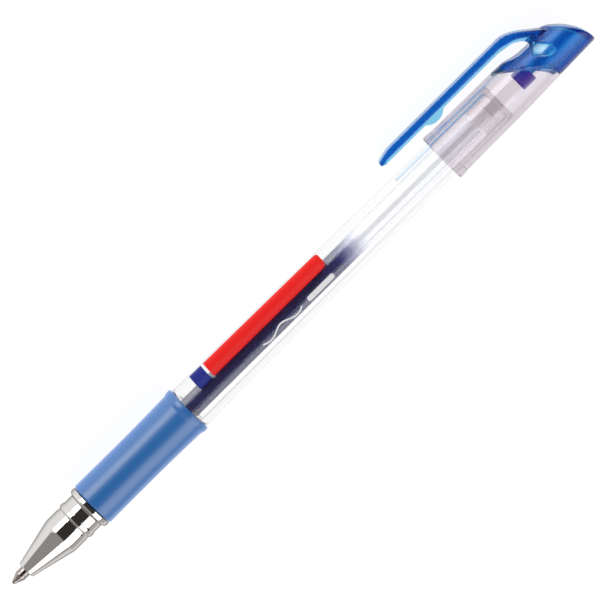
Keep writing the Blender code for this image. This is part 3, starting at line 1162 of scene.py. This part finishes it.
@dataclass
class Barrel:
    """The clear barrel, its end plug and its print, in millimetres.

    Attributes:
        shop: makes the pieces.
        neck_radius: the neck's radius under the grip.
        shoulder_x: where the barrel steps up behind the grip.
        front_radius: its radius behind the step.
        taper_x: where the taper flattens.
        taper_radius: its radius there.
        rear_radius: its radius at its rear end.
        bore: the bore's radius at its front and its rear.
        plug_hollow: the depth of the plug's hollow and the radius of its floor.
        plug_mouth_radius: the radius of the hollow's mouth.
        plug_dimple: the depth, the floor's radius and the mouth's radius of the dimple in its end.
        print_height: how far the print stands off the barrel.
        print_roll: how far the print is turned from the clip, in degrees.
        band_x: where the coloured band starts and ends.
        square_x: where the square in front of it starts and ends.
        band_turn: the edges of both, in degrees round the barrel.
        ripple_x: where the ripple line starts and ends.
        ripple_turn: the angle of its middle line.
        ripple_half_width: half the line's width.
        ripple_swing: how far it swings to each side.
        ripple_waves: how many waves it makes.
        bar_x: where the plain bar starts and ends.
        bar_turn: its edges, in degrees round the barrel.
    """

    shop: Workshop
    neck_radius: float = 4.2
    shoulder_x: float = 50.1
    front_radius: float = 4.9
    taper_x: float = 108.0
    taper_radius: float = 4.3
    rear_radius: float = 4.2
    bore: Point = (3.4, 3.2)
    plug_hollow: Point = (3.6, 1.6)
    plug_mouth_radius: float = 2.3
    plug_dimple: tuple[float, float, float] = (0.5, 0.9, 1.2)
    print_height: float = 0.012
    print_roll: float = 7.0
    band_x: Point = (58.2, 89.8)
    square_x: Point = (54.4, 57.6)
    band_turn: Point = (21.5, 77.0)
    ripple_x: Point = (69.5, 80.5)
    ripple_turn: float = 107.0
    ripple_half_width: float = 0.18
    ripple_swing: float = 0.55
    ripple_waves: float = 1.5
    bar_x: Point = (82.2, 89.4)
    bar_turn: Point = (100.0, 114.0)

    def build(self) -> None:
        """Builds the tube, the plug and the print."""
        self._tube()
        self._plug()
        self._prints()

    def radius(self, x: float) -> float:
        """The barrel's outer radius behind its shoulder.

        Args:
            x: the place along the pen.

        Returns:
            The radius there.
        """
        _, end = self.shop.pen.span("barrel_tube")
        if x < self.taper_x:
            share = (x - self.shoulder_x) / (self.taper_x - self.shoulder_x)
            return self.front_radius + (self.taper_radius - self.front_radius) * share
        share = (x - self.taper_x) / (end - self.taper_x)
        return self.taper_radius + (self.rear_radius - self.taper_radius) * share

    def _tube(self) -> None:
        """Turns the tube."""
        front, end = self.shop.pen.span("barrel_tube")
        length = [Corner(x, self.radius(x)) for x in evenly(self.shoulder_x + 4.0, end - 2.0, 16)]
        outline = rounded(
            [
                Corner(front, self.bore[0], 0.1),
                Corner(front, self.neck_radius, 0.15),
                Corner(self.shoulder_x - 0.2, self.neck_radius, 0.1),
                Corner(self.shoulder_x, self.front_radius, 0.3),
            ]
            + length
            + [Corner(end, self.rear_radius, 0.25), Corner(end, self.bore[1], 0.1)],
            steps=6,
        )
        tube = self.shop.piece("clear_barrel", turned(outline, 144), CLEAR, 30.0)
        self.shop.fit(tube, Body.BARREL, ["barrel_tube"], "clear_styrene")

    def _plug(self) -> None:
        """Turns the plug that closes the barrel's rear."""
        start, end = self.shop.pen.span("barrel_end_plug")
        _, tube_end = self.shop.pen.span("barrel_tube")
        fit = self.bore[1] - 0.05
        head = self.rear_radius - 0.1
        depth, floor = self.plug_hollow
        dimple, dimple_floor, dimple_mouth = self.plug_dimple
        outline = rounded(
            [
                Corner(start + depth, 0.0),
                Corner(start + depth, floor, 0.4),
                Corner(start, self.plug_mouth_radius, 0.1),
                Corner(start, fit, 0.2),
                Corner(tube_end + 0.15, fit, 0.05),
                Corner(tube_end + 0.15, head, 0.1),
                Corner(end, head, 0.45),
                Corner(end, dimple_mouth, 0.2),
                Corner(end - dimple, dimple_floor, 0.1),
                Corner(end - dimple, 0.0),
            ],
            loop=False,
            steps=6,
        )
        plug = self.shop.piece("barrel_plug", turned(outline, 96), PLUG_CLEAR, 30.0)
        self.shop.fit(plug, Body.BARREL, ["barrel_end_plug"], "end_plug_plastic")

    def _prints(self) -> None:
        """Lays the coloured print on the barrel's side: a band, a square and plain marks."""
        self._patch("print_band", self.band_x, self.band_turn, RED_PRINT, (0.2, 1.3))
        self._patch("print_square", self.square_x, self.band_turn, BLUE_PRINT, (0.3, 0.3))
        self._ripple("print_ripple", WHITE_PRINT)
        self._patch("print_bar", self.bar_x, self.bar_turn, WHITE_PRINT, (0.5, 0.5))

    def _patch(
        self, name: str, along: Point, around: Point, finish: Finish, corner: Point
    ) -> None:
        """Lays one patch of print on the barrel.

        Args:
            name: the piece's name.
            along: where it starts and ends along the barrel.
            around: its edges, in degrees round the barrel.
            finish: the ink.
            corner: how round its front and its rear corners are, in millimetres.
        """
        middle = self.radius(sum(along) / 2.0)
        low, high = (math.radians(edge) * middle for edge in around)
        outline = rounded(
            [
                Corner(along[0], low, corner[0]),
                Corner(along[1], low, corner[1]),
                Corner(along[1], high, corner[1]),
                Corner(along[0], high, corner[0]),
            ],
            steps=6,
        )
        mesh = plate(outline, 0.0, 1.0)
        self._wrap(mesh, middle)
        patch = self.shop.piece(name, mesh, finish, 30.0)
        self.shop.fit(patch, Body.BARREL, [], "clear_styrene")

    def _ripple(self, name: str, finish: Finish) -> None:
        """Lays the plain ripple line of print on the barrel.

        Args:
            name: the piece's name.
            finish: the ink.
        """
        start, end = self.ripple_x
        middle = self.radius((start + end) / 2.0)
        line = math.radians(self.ripple_turn) * middle
        waves = FULL_TURN * self.ripple_waves / (end - start)
        width = self.ripple_half_width
        upper: list[Point] = []
        lower: list[Point] = []
        for x in evenly(start, end, 48):
            height = line + self.ripple_swing * math.sin(waves * (x - start))
            upper.append((x, height - width))
            lower.append((x, height + width))
        mesh = plate(upper + lower[::-1], 0.0, 1.0)
        self._wrap(mesh, middle)
        ripple = self.shop.piece(name, mesh, finish, 30.0)
        self.shop.fit(ripple, Body.BARREL, [], "clear_styrene")

    def _wrap(self, mesh: bmesh.types.BMesh, middle: float) -> None:
        """Wraps a flat plate of print round the barrel.

        Args:
            mesh: the plate, with X along the barrel, Z around it and Y, from 0 to 1, through it.
            middle: the radius that its widths were laid out at.
        """
        low = min(vert.co.z for vert in mesh.verts)
        high = max(vert.co.z for vert in mesh.verts)
        add_rows(mesh, evenly(low, high, 24)[1:-1], UPWARDS)
        roll = math.radians(self.print_roll)
        for vert in mesh.verts:
            turn = vert.co.z / middle - roll
            reach = self.radius(vert.co.x) + self.print_height * (0.3 + vert.co.y)
            vert.co = (vert.co.x, -reach * math.sin(turn), reach * math.cos(turn))
        close_up(mesh)


@dataclass
class Refill:
    """The ink tube, its holder, the ink and the follower, in millimetres.

    Attributes:
        shop: makes the pieces.
        tube_radius: the tube's outer radius.
        bore_radius: its bore's radius.
        bite: how far ink and follower wet into the tube's wall.
        smear: how far the ink that thins out reaches behind the follower.
        holder_radius: the radius of the holder's front.
        holder_bore: the radius of the holder's bore, round the point's stem.
        collar: where the holder's cone starts, and where its collar starts and ends.
        collar_radius: the collar's radius.
    """

    shop: Workshop
    tube_radius: float = 2.4
    bore_radius: float = 1.5
    bite: float = 0.01
    smear: float = 3.5
    holder_radius: float = 1.95
    holder_bore: float = 0.85
    collar: tuple[float, float, float] = (9.1, 10.2, 12.0)
    collar_radius: float = 2.55

    def build(self) -> None:
        """Builds the holder, the tube, the ink and the follower."""
        self._holder()
        self._tube()
        self._ink()
        self._follower()

    def _holder(self) -> None:
        """Turns the plastic holder between the point and the tube."""
        start, end = self.shop.pen.span("tip_holder")
        cone, collar, collar_end = self.collar
        fit = self.bore_radius - 0.05
        outline = rounded(
            [
                Corner(start, self.holder_bore, 0.05),
                Corner(start, self.holder_radius, 0.15),
                Corner(cone, self.holder_radius, 0.1),
                Corner(collar, self.collar_radius, 0.15),
                Corner(collar_end, self.collar_radius, 0.1),
                Corner(collar_end, fit, 0.05),
                Corner(end, fit, 0.2),
                Corner(end, self.holder_bore, 0.05),
            ],
            steps=5,
        )
        holder = self.shop.piece("point_holder", turned(outline, 72), HOLDER)
        self.shop.fit(holder, Body.REFILL, ["tip_holder"], "holder_plastic")

    def _tube(self) -> None:
        """Turns the ink tube."""
        start, end = self.shop.pen.span("refill_tube")
        outline = rounded(
            [
                Corner(start, self.bore_radius, 0.05),
                Corner(start, self.tube_radius, 0.08),
                Corner(end, self.tube_radius, 0.08),
                Corner(end, self.bore_radius, 0.05),
            ],
            steps=3,
        )
        tube = self.shop.piece("ink_tube", turned(outline, 96), MILKY, 30.0)
        self.shop.fit(tube, Body.REFILL, ["refill_tube"], "natural_polypropylene")

    def _ink(self) -> None:
        """Turns the gel."""
        start, end = self.shop.pen.span("ink_column")
        fill = self.bore_radius + self.bite
        outline = [(start, 0.0), (start, fill), (end, fill), (end, 0.0)]
        ink = self.shop.piece("gel_ink", turned(outline, 72), GEL)
        self.shop.fit(ink, Body.REFILL, ["ink_column"], "blue_gel_ink")
        anchor = tuple(self.shop.pen.place(start))
        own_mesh(ink)

    def _follower(self) -> None:
        """Turns the follower, where the ink thins out into clear grease."""
        start, end = self.shop.pen.span("ink_follower")
        _, ink_end = self.shop.pen.span("ink_column")
        fill = self.bore_radius + self.bite
        reach = end + self.smear
        outline = [(ink_end, 0.0), (ink_end, fill), (reach, fill), (reach, 0.0)]
        finish = FadingFinish(
            "thinning_ink",
            (0.03, 0.035, 0.16),
            roughness=0.3,
            spread=0.05,
            wave=0.1,
            scratch=0.0,
            gloss=0.0,
            fade_start=self.shop.pen.place(start - 1.0).x,
            fade_end=self.shop.pen.place(reach).x,
            thin_colour=(0.5, 0.5, 0.75),
        )
        grease = self.shop.piece("ink_follower_grease", turned(outline, 72), finish)
        self.shop.fit(grease, Body.FOLLOWER, ["ink_follower"], "follower_grease")


@dataclass
class Cap:
    """The clear cap, its blue crown with the clip, and the soft seal, in millimetres.

    Attributes:
        shop: makes the pieces.
        bead_radius: the radius of the beaded mouth.
        front_radius: the cap's radius behind the bead.
        taper_start: where the cap starts to taper.
        middle: a place along the cap and its radius there.
        rear_radius: its radius at the low end of the seam.
        bore: the bore's radius at the mouth and at the low end of the seam.
        bore_rows: where the bore has rows of vertices.
        rings: where the inner snap rings are.
        bow_start: where the tube starts to stretch towards the bowed seam.
        seam_low: the seam's lowest place, along the pen and in height.
        seam_bow: how fast the seam bows forward with height.
        end_low_z: the height of the crown's rearmost line.
        end_bow: how fast the crown's end bows forward with height.
        crown_end_radius: the crown's radius at its rear.
        crown_bore_radius: the radius of the crown's hollow.
        spigot: how far the crown's spigot reaches into the cap.
        end_wall: the thickness of the crown's end.
        clip_outer: the height of the clip's outer face.
        clip_thickness: the thickness of its flange.
        clip_half_width: half its flange's width.
        rib_depth: how far its rib stands off the flange.
        rib_half_width: half the rib's width.
        rib_root: the (x, z) outline of the rib where it runs down into the crown.
        bump: the place of its bump along the pen, the bump's lowest height and its radius.
        arm_widening: how much wider the arm is at the crown.
        trough: the (x, z) outline of what is cut away under the clip.
        scoop_front: the front of the (x, z) outline of the hollows in the crown's sides.
        scoop_end: the place, the height and the radius of their round end.
        scoop_wall: how thick a wall they leave round the crown's hollow.
        stem_radius: the radius of the stem that carries the seal.
        seal_radius: the seal's radius.
        seal_nose_radius: the radius of its flat nose.
        socket: the depth and the radius of its socket for the stem.
        bend_start: where the bend starts, on the crown's side.
        bend_end: where it ends, on the clip's side.
        grain: the spacing of the moulding's mesh.
    """

    shop: Workshop
    bead_radius: float = 5.46
    front_radius: float = 5.3
    taper_start: float = 123.0
    middle: Point = (140.0, 5.16)
    rear_radius: float = 4.85
    bore: Point = (4.45, 4.1)
    bore_rows: tuple[float, ...] = (143.0, 136.0, 130.0)
    rings: tuple[float, ...] = (126.2, 124.2, 122.6)
    bow_start: float = 128.0
    seam_low: Point = (149.7, -4.85)
    seam_bow: float = 0.108
    end_low_z: float = -4.2
    end_bow: float = 0.075
    crown_end_radius: float = 4.6
    crown_bore_radius: float = 2.9
    spigot: float = 1.0
    end_wall: float = 0.8
    clip_outer: float = 9.1
    clip_thickness: float = 1.36
    clip_half_width: float = 2.3
    rib_depth: float = 0.78
    rib_half_width: float = 0.5
    rib_root: tuple[Point, ...] = (
        (147.0, 6.45),
        (148.7, 5.5),
        (149.4, 4.5),
        (149.6, 3.4),
        (154.0, 1.0),
        (154.2, 3.0),
        (151.0, 6.0),
        (148.0, 7.6),
    )
    bump: tuple[float, float, float] = (125.8, 5.88, 3.4)
    arm_widening: float = 0.4
    trough: tuple[Corner, ...] = (
        Corner(140.6, 6.6),
        Corner(143.0, 5.0),
        Corner(145.8, 4.0, 1.2),
        Corner(149.3, 3.85, 0.3),
        Corner(149.7, 6.6),
    )
    scoop_front: tuple[Point, ...] = ((150.35, 3.95), (149.2, 3.35), (148.2, 2.3))
    scoop_end: tuple[float, float, float] = (151.35, 0.75, 1.25)
    scoop_wall: float = 0.28
    stem_radius: float = 0.9
    seal_radius: float = 2.0
    seal_nose_radius: float = 1.0
    socket: Point = (1.35, 0.85)
    bend_start: tuple[float, float, float] = (147.0, 0.0, 6.9)
    bend_end: tuple[float, float, float] = (146.61, 0.0, 8.35)
    grain: float = 0.15

    def build(self) -> None:
        """Builds the tube, the crown and the seal."""
        self._tube()
        self._crown()
        self._seal()

    def bore_radius(self, x: float) -> float:
        """The radius of the cap's bore.

        Args:
            x: the place along the pen.

        Returns:
            The radius there.
        """
        mouth, _ = self.shop.pen.span("cap_tube")
        share = (x - mouth) / (self.seam_low[0] - mouth)
        return self.bore[0] + (self.bore[1] - self.bore[0]) * share

    def outer_radius(self, x: float) -> float:
        """The cap's and the crown's outer radius.

        Args:
            x: the place along the pen.

        Returns:
            The radius there.
        """
        seam = self.seam_low[0]
        end = self.shop.pen.span("cap_crown")[1]
        if x < self.middle[0]:
            start, first, stop, last = self.taper_start, self.front_radius, *self.middle
        elif x < seam:
            start, first, stop, last = *self.middle, seam, self.rear_radius
        else:
            start, first, stop, last = seam, self.rear_radius, end, self.crown_end_radius
        return first + (last - first) * (x - start) / (stop - start)

    def _bow(self, mesh: bmesh.types.BMesh, stretched_from: float | None) -> None:
        """Bows a turned shape to the seam and the crown's slanted end, with its taper kept straight.

        Args:
            mesh: the shape, turned as if the seam and the end were square to the pen.
            stretched_from: where the stretch that ends at the seam starts. Without it, what lies
                before the seam moves with the seam.
        """
        seam = self.seam_low[0]
        end = self.shop.pen.span("cap_crown")[1]
        for vert in mesh.verts:
            x, y, z = vert.co
            start = self.seam_x(z)
            bowed = x
            if x > seam:
                bowed = start + (self.end_x(z) - start) * (x - seam) / (end - seam)
            elif stretched_from is None:
                bowed = start + x - seam
            elif x > stretched_from:
                share = (x - stretched_from) / (seam - stretched_from)
                bowed = stretched_from + (start - stretched_from) * share
            swell = self.outer_radius(bowed) / self.outer_radius(x)
            vert.co = (bowed, y * swell, z * swell)

    def seam_x(self, z: float) -> float:
        """Where the seam lies at height z."""
        return self.seam_low[0] - self.seam_bow * (z - self.seam_low[1]) ** 2

    def end_x(self, z: float) -> float:
        """Where the crown's end lies at height z."""
        _, end = self.shop.pen.span("cap_crown")
        return end - self.end_bow * (z - self.end_low_z) ** 2

    def _tube(self) -> None:
        """Turns the clear cap, then bows its rear edge to the seam."""
        mouth, _ = self.shop.pen.span("cap_tube")
        seam = self.seam_low[0]
        outside = [
            Corner(mouth, self.bead_radius, 0.7),
            Corner(mouth + 1.6, self.bead_radius, 0.3),
            Corner(mouth + 2.0, self.front_radius, 0.2),
            Corner(*self.middle, 2.0),
            Corner(seam, self.rear_radius, 0.05),
        ]
        inside = [Corner(seam, self.bore_radius(seam), 0.05)]
        inside += [Corner(x, self.bore_radius(x)) for x in self.bore_rows]
        for ring in self.rings:
            wall = self.bore_radius(ring)
            inside += [
                Corner(ring + 0.35, wall, 0.08),
                Corner(ring, wall - 0.05, 0.12),
                Corner(ring - 0.35, wall, 0.08),
            ]
        inside.append(Corner(mouth, self.bore[0] + 0.05, 0.25))
        mesh = turned(rounded(outside + inside, steps=6), 144)
        add_rows(mesh, evenly(self.bow_start, seam - 0.3, 24), ALONG)
        self._bow(mesh, self.bow_start)
        tube = self.shop.piece("clear_cap_tube", mesh, CAP_CLEAR, 30.0)
        self.shop.fit(tube, Body.CAP, ["cap_tube"], "clear_cap")

    def _bowed(self, corners: Sequence[Corner]) -> bmesh.types.BMesh:
        """Turns a shape that ends on the axis, and bows it between the seam and the crown's end.

        Args:
            corners: its corners, with the seam and the end where they are lowest.

        Returns:
            The closed shape.
        """
        seam = self.seam_low[0]
        end = self.shop.pen.span("cap_crown")[1]
        mesh = turned(rounded(corners, loop=False, steps=8), 144)
        add_rows(mesh, evenly(seam + 0.5, end - 0.8, 16), ALONG)
        self._bow(mesh, None)
        return mesh

    def _body(self) -> bmesh.types.BMesh:
        """The crown's outside, with its spigot.

        Returns:
            The closed shape.
        """
        seam = self.seam_low[0]
        end = self.shop.pen.span("cap_crown")[1]
        front = seam - self.spigot
        fit = self.bore_radius(seam) - 0.03
        disc = [Corner(end, radius) for radius in evenly(self.crown_end_radius - 1.0, 0.0, 8)]
        return self._bowed(
            [
                Corner(front, 0.0),
                Corner(front, fit, 0.2),
                Corner(seam + 0.03, fit, 0.04),
                Corner(seam + 0.03, self.rear_radius),
                Corner(end, self.crown_end_radius, 0.6),
            ]
            + disc
        )

    def _hollow(self) -> bmesh.types.BMesh:
        """The hollow inside the crown.

        Returns:
            The closed shape.
        """
        front = self.seam_low[0] - self.spigot - 1.0
        back = self.shop.pen.span("cap_crown")[1] - self.end_wall
        bore = self.crown_bore_radius
        disc = [Corner(back, radius) for radius in evenly(bore - 1.3, 0.0, 6)]
        return self._bowed(
            [Corner(front, 0.0), Corner(front, bore), Corner(back, bore, 1.2)] + disc
        )

    def _scoops(self) -> Carving:
        """The two hollows pressed into the crown's sides behind the clip's gap.

        Returns:
            What is cut away, a round core left out.
        """
        x, z, radius = self.scoop_end
        outline = [*self.scoop_front, *arc((x, z), radius, 221.0, 401.0)]
        carving = Carving.start("scoops", plate(outline, -7.0, 7.0))
        wall = self.crown_bore_radius + self.scoop_wall
        carving.cut(turned([(140.0, 0.0), (140.0, wall), (160.0, wall), (160.0, 0.0)], 96))
        return carving

    def _arm(self) -> bmesh.types.BMesh:
        """The clip's flange, from its free end to the crown's back, where it is wider.

        Returns:
            The closed shape.
        """
        outer = self.clip_outer
        inner = outer - self.clip_thickness
        outline = rounded(
            [
                Corner(111.2, 7.65, 0.25),
                Corner(111.45, 8.4, 0.4),
                Corner(114.4, outer, 1.2),
                Corner(146.6, outer, 1.6),
                Corner(149.2, 7.72, 1.0),
                Corner(154.75, 3.25, 0.25),
                Corner(154.2, 2.2, 0.25),
                Corner(148.4, 6.75, 1.0),
                Corner(144.6, inner, 1.2),
                Corner(113.0, inner, 0.4),
                Corner(111.7, 7.35, 0.2),
            ]
        )
        mesh = plate(outline, -self.clip_half_width, self.clip_half_width)
        for vert in mesh.verts:
            if vert.co.x > 144.0:
                lower = max(0.0, min(1.0, (8.2 - vert.co.z) / 5.0))
                vert.co.y *= 1.0 + self.arm_widening * lower
        return mesh

    def _rib(self) -> bmesh.types.BMesh:
        """The thin rib under the clip's flange, with the round bump that grips cloth.

        Returns:
            The closed shape.
        """
        inner = self.clip_outer - self.clip_thickness
        low = inner - self.rib_depth
        x, lowest, radius = self.bump
        centre = lowest + radius
        reach = math.degrees(math.asin((centre - low) / radius))
        outline = [(111.7, inner + 0.3), (111.5, inner - 0.15), (111.8, low + 0.15), (112.3, low)]
        outline += arc((x, centre), radius, reach - 180.0, -reach)
        outline += [(143.6, low), *self.rib_root, (144.5, inner + 0.5)]
        return plate(outline, -self.rib_half_width, self.rib_half_width)

    def _crown(self) -> None:
        """Builds the crown with its clip as one moulding."""
        end = self.shop.pen.span("cap_crown")[1]
        seal_end = self.shop.pen.span("tip_seal")[1]
        carving = Carving.start("crown", self._body())
        carving.cut(plate(rounded(self.trough), -6.0, 6.0))
        carving.cut_with(self._scoops())
        carving.join(self._arm())
        carving.join(self._rib())
        carving.cut(self._hollow())
        tenon = self.stem_radius - 0.1
        stem = [
            Corner(seal_end - 1.2, 0.0),
            Corner(seal_end - 1.2, tenon, 0.1),
            Corner(seal_end + 0.15, tenon),
            Corner(seal_end + 0.15, self.stem_radius, 0.15),
            Corner(end - 2.0, self.stem_radius),
            Corner(end - 2.0, 0.0),
        ]
        carving.join(turned(rounded(stem, loop=False), 64))
        crown = self.shop.piece("blue_crown_and_clip", carving.result(self.grain), BLUE, 60.0)
        tuple(self.shop.pen.place(*self.bend_start))
        tuple(self.shop.pen.place(*self.bend_end))
        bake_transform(crown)
        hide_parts("cap_crown", "pocket_clip")
        LOG.info("%s bends between cap and clip: %d faces", crown.name, len(crown.data.polygons))

    def _seal(self) -> None:
        """Turns the soft plug at the end of the crown's stem."""
        start, end = self.shop.pen.span("tip_seal")
        depth, socket = self.socket
        outline = rounded(
            [
                Corner(start + 0.5, 0.0),
                Corner(start + 0.4, 0.6, 0.2),
                Corner(start, self.seal_nose_radius, 0.2),
                Corner(start, self.seal_radius, 0.35),
                Corner(end, self.seal_radius, 0.12),
                Corner(end, socket, 0.05),
                Corner(end - depth, socket, 0.05),
                Corner(end - depth, 0.0),
            ],
            loop=False,
            steps=5,
        )
        seal = self.shop.piece("cap_seal", turned(outline, 72), SEAL)
        self.shop.fit(seal, Body.CAP, ["tip_seal"], "seal_elastomer")


@dataclass(frozen=True)
class SoftBox:
    """A long soft box that hangs square to the pen.

    Attributes:
        name: the lamp's name.
        elevation: its angle over the floor on the clip's side, in degrees, past 90 beyond the pen.
        size: its length along the pen and its width, in metres.
        power: its power in watts.
        shift: how far its middle lies towards the crown, in metres.
        distance: its distance from the pen, in metres.
    """

    name: str
    elevation: float
    size: Point
    power: float
    shift: float = 0.0
    distance: float = 0.8

    def hang(self, middle: Vector) -> None:
        """Hangs the box.

        Args:
            middle: the point of the pen that it faces when it isn't shifted.
        """
        data = bpy.data.lights.new(self.name, "AREA")
        data.shape = "RECTANGLE"
        data.size, data.size_y = self.size
        data.energy = self.power
        lamp = bpy.data.objects.new(self.name, data)
        turn = math.radians(self.elevation)
        way = Vector((0.0, math.cos(turn), math.sin(turn)))
        axes = Matrix((ALONG, way.cross(ALONG), way)).transposed().to_4x4()
        place = middle + ALONG * self.shift + way * self.distance
        lamp.matrix_world = Matrix.Translation(place) @ axes
        bpy.context.scene.collection.objects.link(lamp)


OVERHEAD_BOX = SoftBox("overhead_box", 122.0, (1.8, 0.75), 7.0)
FRONT_BOX = SoftBox("front_box", 16.0, (1.2, 0.42), 4.2, 0.3)


@dataclass
class Studio:
    """The floor, the lamps, the room and the camera.

    Attributes:
        pen: the pen's frame.
        lean: the tilt of the clip towards the camera, in degrees.
        rear_lean: how far the pen's rear leans towards the camera, in degrees.
        pen_slope: how steeply the pen runs up the view, in degrees.
        look_at: the point in the middle of the view, along the pen and towards the clip.
        view_width: how much of the pen's plane the view spans, in millimetres.
        distance: the camera's distance, in metres.
        sensor: the camera's sensor width, in millimetres.
        floor_size: half the floor's width, in metres.
        floor_grey: how much lamp light the floor gives back.
        floor_glow: its own even light.
        room_colour: the tint of the room round the studio.
        room_front: how bright the room is towards the crown and towards the writing point.
        room_sides: how much brighter it is over the pen's long sides.
    """

    pen: PenFrame
    lean: float = 7.0
    rear_lean: float = 2.0
    pen_slope: float = 44.75
    look_at: Point = (80.9, -0.2)
    view_width: float = 120.0
    distance: float = 1.3
    sensor: float = 36.0
    floor_size: float = 3.0
    floor_grey: float = 0.12
    floor_glow: float = 0.94
    room_colour: tuple[float, float, float] = (1.0, 0.97, 0.95)
    room_front: Point = (0.04, 0.34)
    room_sides: float = 0.5

    def build(self) -> None:
        """Builds the floor, the lamps, the room and the camera."""
        self._floor()
        for box in (OVERHEAD_BOX, FRONT_BOX):
            box.hang(self.pen.place(self.look_at[0]))
        self._room()
        self._camera()

    def _towards_camera(self) -> Vector:
        """The direction from the pen to the camera.

        Returns:
            The direction, of length 1.
        """
        side = ALONG.cross(self.pen.clip_way)
        side = side if side.z > 0.0 else -side
        lean = math.radians(self.lean)
        square = side * math.cos(lean) + self.pen.clip_way * math.sin(lean)
        rear = math.radians(self.rear_lean)
        return (square * math.cos(rear) + ALONG * math.sin(rear)).normalized()

    def _camera(self) -> None:
        """Points the camera so that the pen runs up to the right."""
        back = self._towards_camera()
        along = (ALONG - back * ALONG.dot(back)).normalized()
        across = back.cross(along)
        slope = math.radians(self.pen_slope)
        right = along * math.cos(slope) - across * math.sin(slope)
        up = along * math.sin(slope) + across * math.cos(slope)
        target = self.pen.place(self.look_at[0]) + across * self.look_at[1] * MM
        data = bpy.data.cameras.new("camera")
        data.sensor_width = self.sensor
        data.lens = self.sensor * self.distance / (self.view_width * MM)
        data.clip_end = 20.0
        camera = bpy.data.objects.new("camera", data)
        turn = Matrix((right, up, back)).transposed().to_4x4()
        camera.matrix_world = Matrix.Translation(target + back * self.distance) @ turn
        bpy.context.scene.collection.objects.link(camera)
        bpy.context.scene.camera = camera

    def _floor(self) -> None:
        """Lays the pale floor under the pen."""
        mesh = bmesh.new()
        bmesh.ops.create_grid(mesh, x_segments=1, y_segments=1, size=self.floor_size)
        bmesh.ops.translate(mesh, vec=UPWARDS * (CAD_BOX[0].z - 0.05 * MM), verts=mesh.verts)
        data = bpy.data.meshes.new("floor")
        mesh.to_mesh(data)
        mesh.free()
        material = bpy.data.materials.new("studio_floor")
        material.use_nodes = True
        shader = material.node_tree.nodes["Principled BSDF"]
        shader.inputs["Base Color"].default_value = (*[self.floor_grey] * 3, 1.0)
        shader.inputs["Roughness"].default_value = 0.9
        shader.inputs["Specular IOR Level"].default_value = 0.0
        shader.inputs["Emission Color"].default_value = (1.0, 1.0, 1.0, 1.0)
        shader.inputs["Emission Strength"].default_value = self.floor_glow
        data.materials.append(material)
        floor = bpy.data.objects.new("floor", data)
        bpy.context.scene.collection.objects.link(floor)

    def _room(self) -> None:
        """Sets the dim room, brighter towards the writing point and over the pen's long sides."""
        world = bpy.data.worlds.new("room")
        world.use_nodes = True
        sheet = Sheet(world.node_tree)
        place = sheet.add("TexCoord")
        axes = sheet.add("SeparateXYZ")
        sheet.join(place.outputs["Generated"], axes.inputs["Vector"])
        front = self._ramp(sheet, axes.outputs["X"], (-0.18, -0.34), self.room_front)
        depth = sheet.add("Math", {"operation": "ABSOLUTE"})
        sheet.join(axes.outputs["Y"], depth.inputs[0])
        sides = self._ramp(sheet, depth.outputs[0], (0.86, 0.9), (0.0, self.room_sides))
        total = sheet.add("Math", {"operation": "ADD"})
        sheet.join(front, total.inputs[0])
        sheet.join(sides, total.inputs[1])
        backdrop = world.node_tree.nodes["Background"]
        sheet.join(total.outputs[0], backdrop.inputs["Strength"])
        backdrop.inputs["Color"].default_value = (*self.room_colour, 1.0)
        bpy.context.scene.world = world

    @staticmethod
    def _ramp(
        sheet: Sheet, source: bpy.types.NodeSocket, given: Point, wanted: Point
    ) -> bpy.types.NodeSocket:
        """Adds a smooth ramp.

        Args:
            sheet: the world's node sheet.
            source: the value to start from.
            given: its values at the ramp's two ends.
            wanted: what the ramp gives there.

        Returns:
            The ramp's output.
        """
        ramp = sheet.add("MapRange", {"interpolation_type": "SMOOTHSTEP"})
        sheet.join(source, ramp.inputs["Value"])
        for label, value in zip(("From Min", "From Max", "To Min", "To Max"), given + wanted):
            ramp.inputs[label].default_value = value
        return ramp.outputs["Result"]


def main() -> None:
    """Builds every piece of the pen, then its studio."""
    logging.basicConfig(level=logging.INFO, format="%(message)s")
    scene = bpy.context.scene
    scene.view_settings.view_transform = "Standard"
    scene.cycles.max_bounces = LIGHT_BOUNCES
    scene.cycles.transmission_bounces = LIGHT_BOUNCES
    scene.cycles.transparent_max_bounces = LIGHT_BOUNCES
    shop = Workshop(PenFrame.of_model())
    for part in (WritingPoint, NoseCone, GripSleeve, Barrel, Refill, Cap):
        part(shop).build()
        LOG.info("built %s", part.__name__)
    Studio(shop.pen).build()
    bpy.context.view_layer.update()


if __name__ == "__main__":
    main()
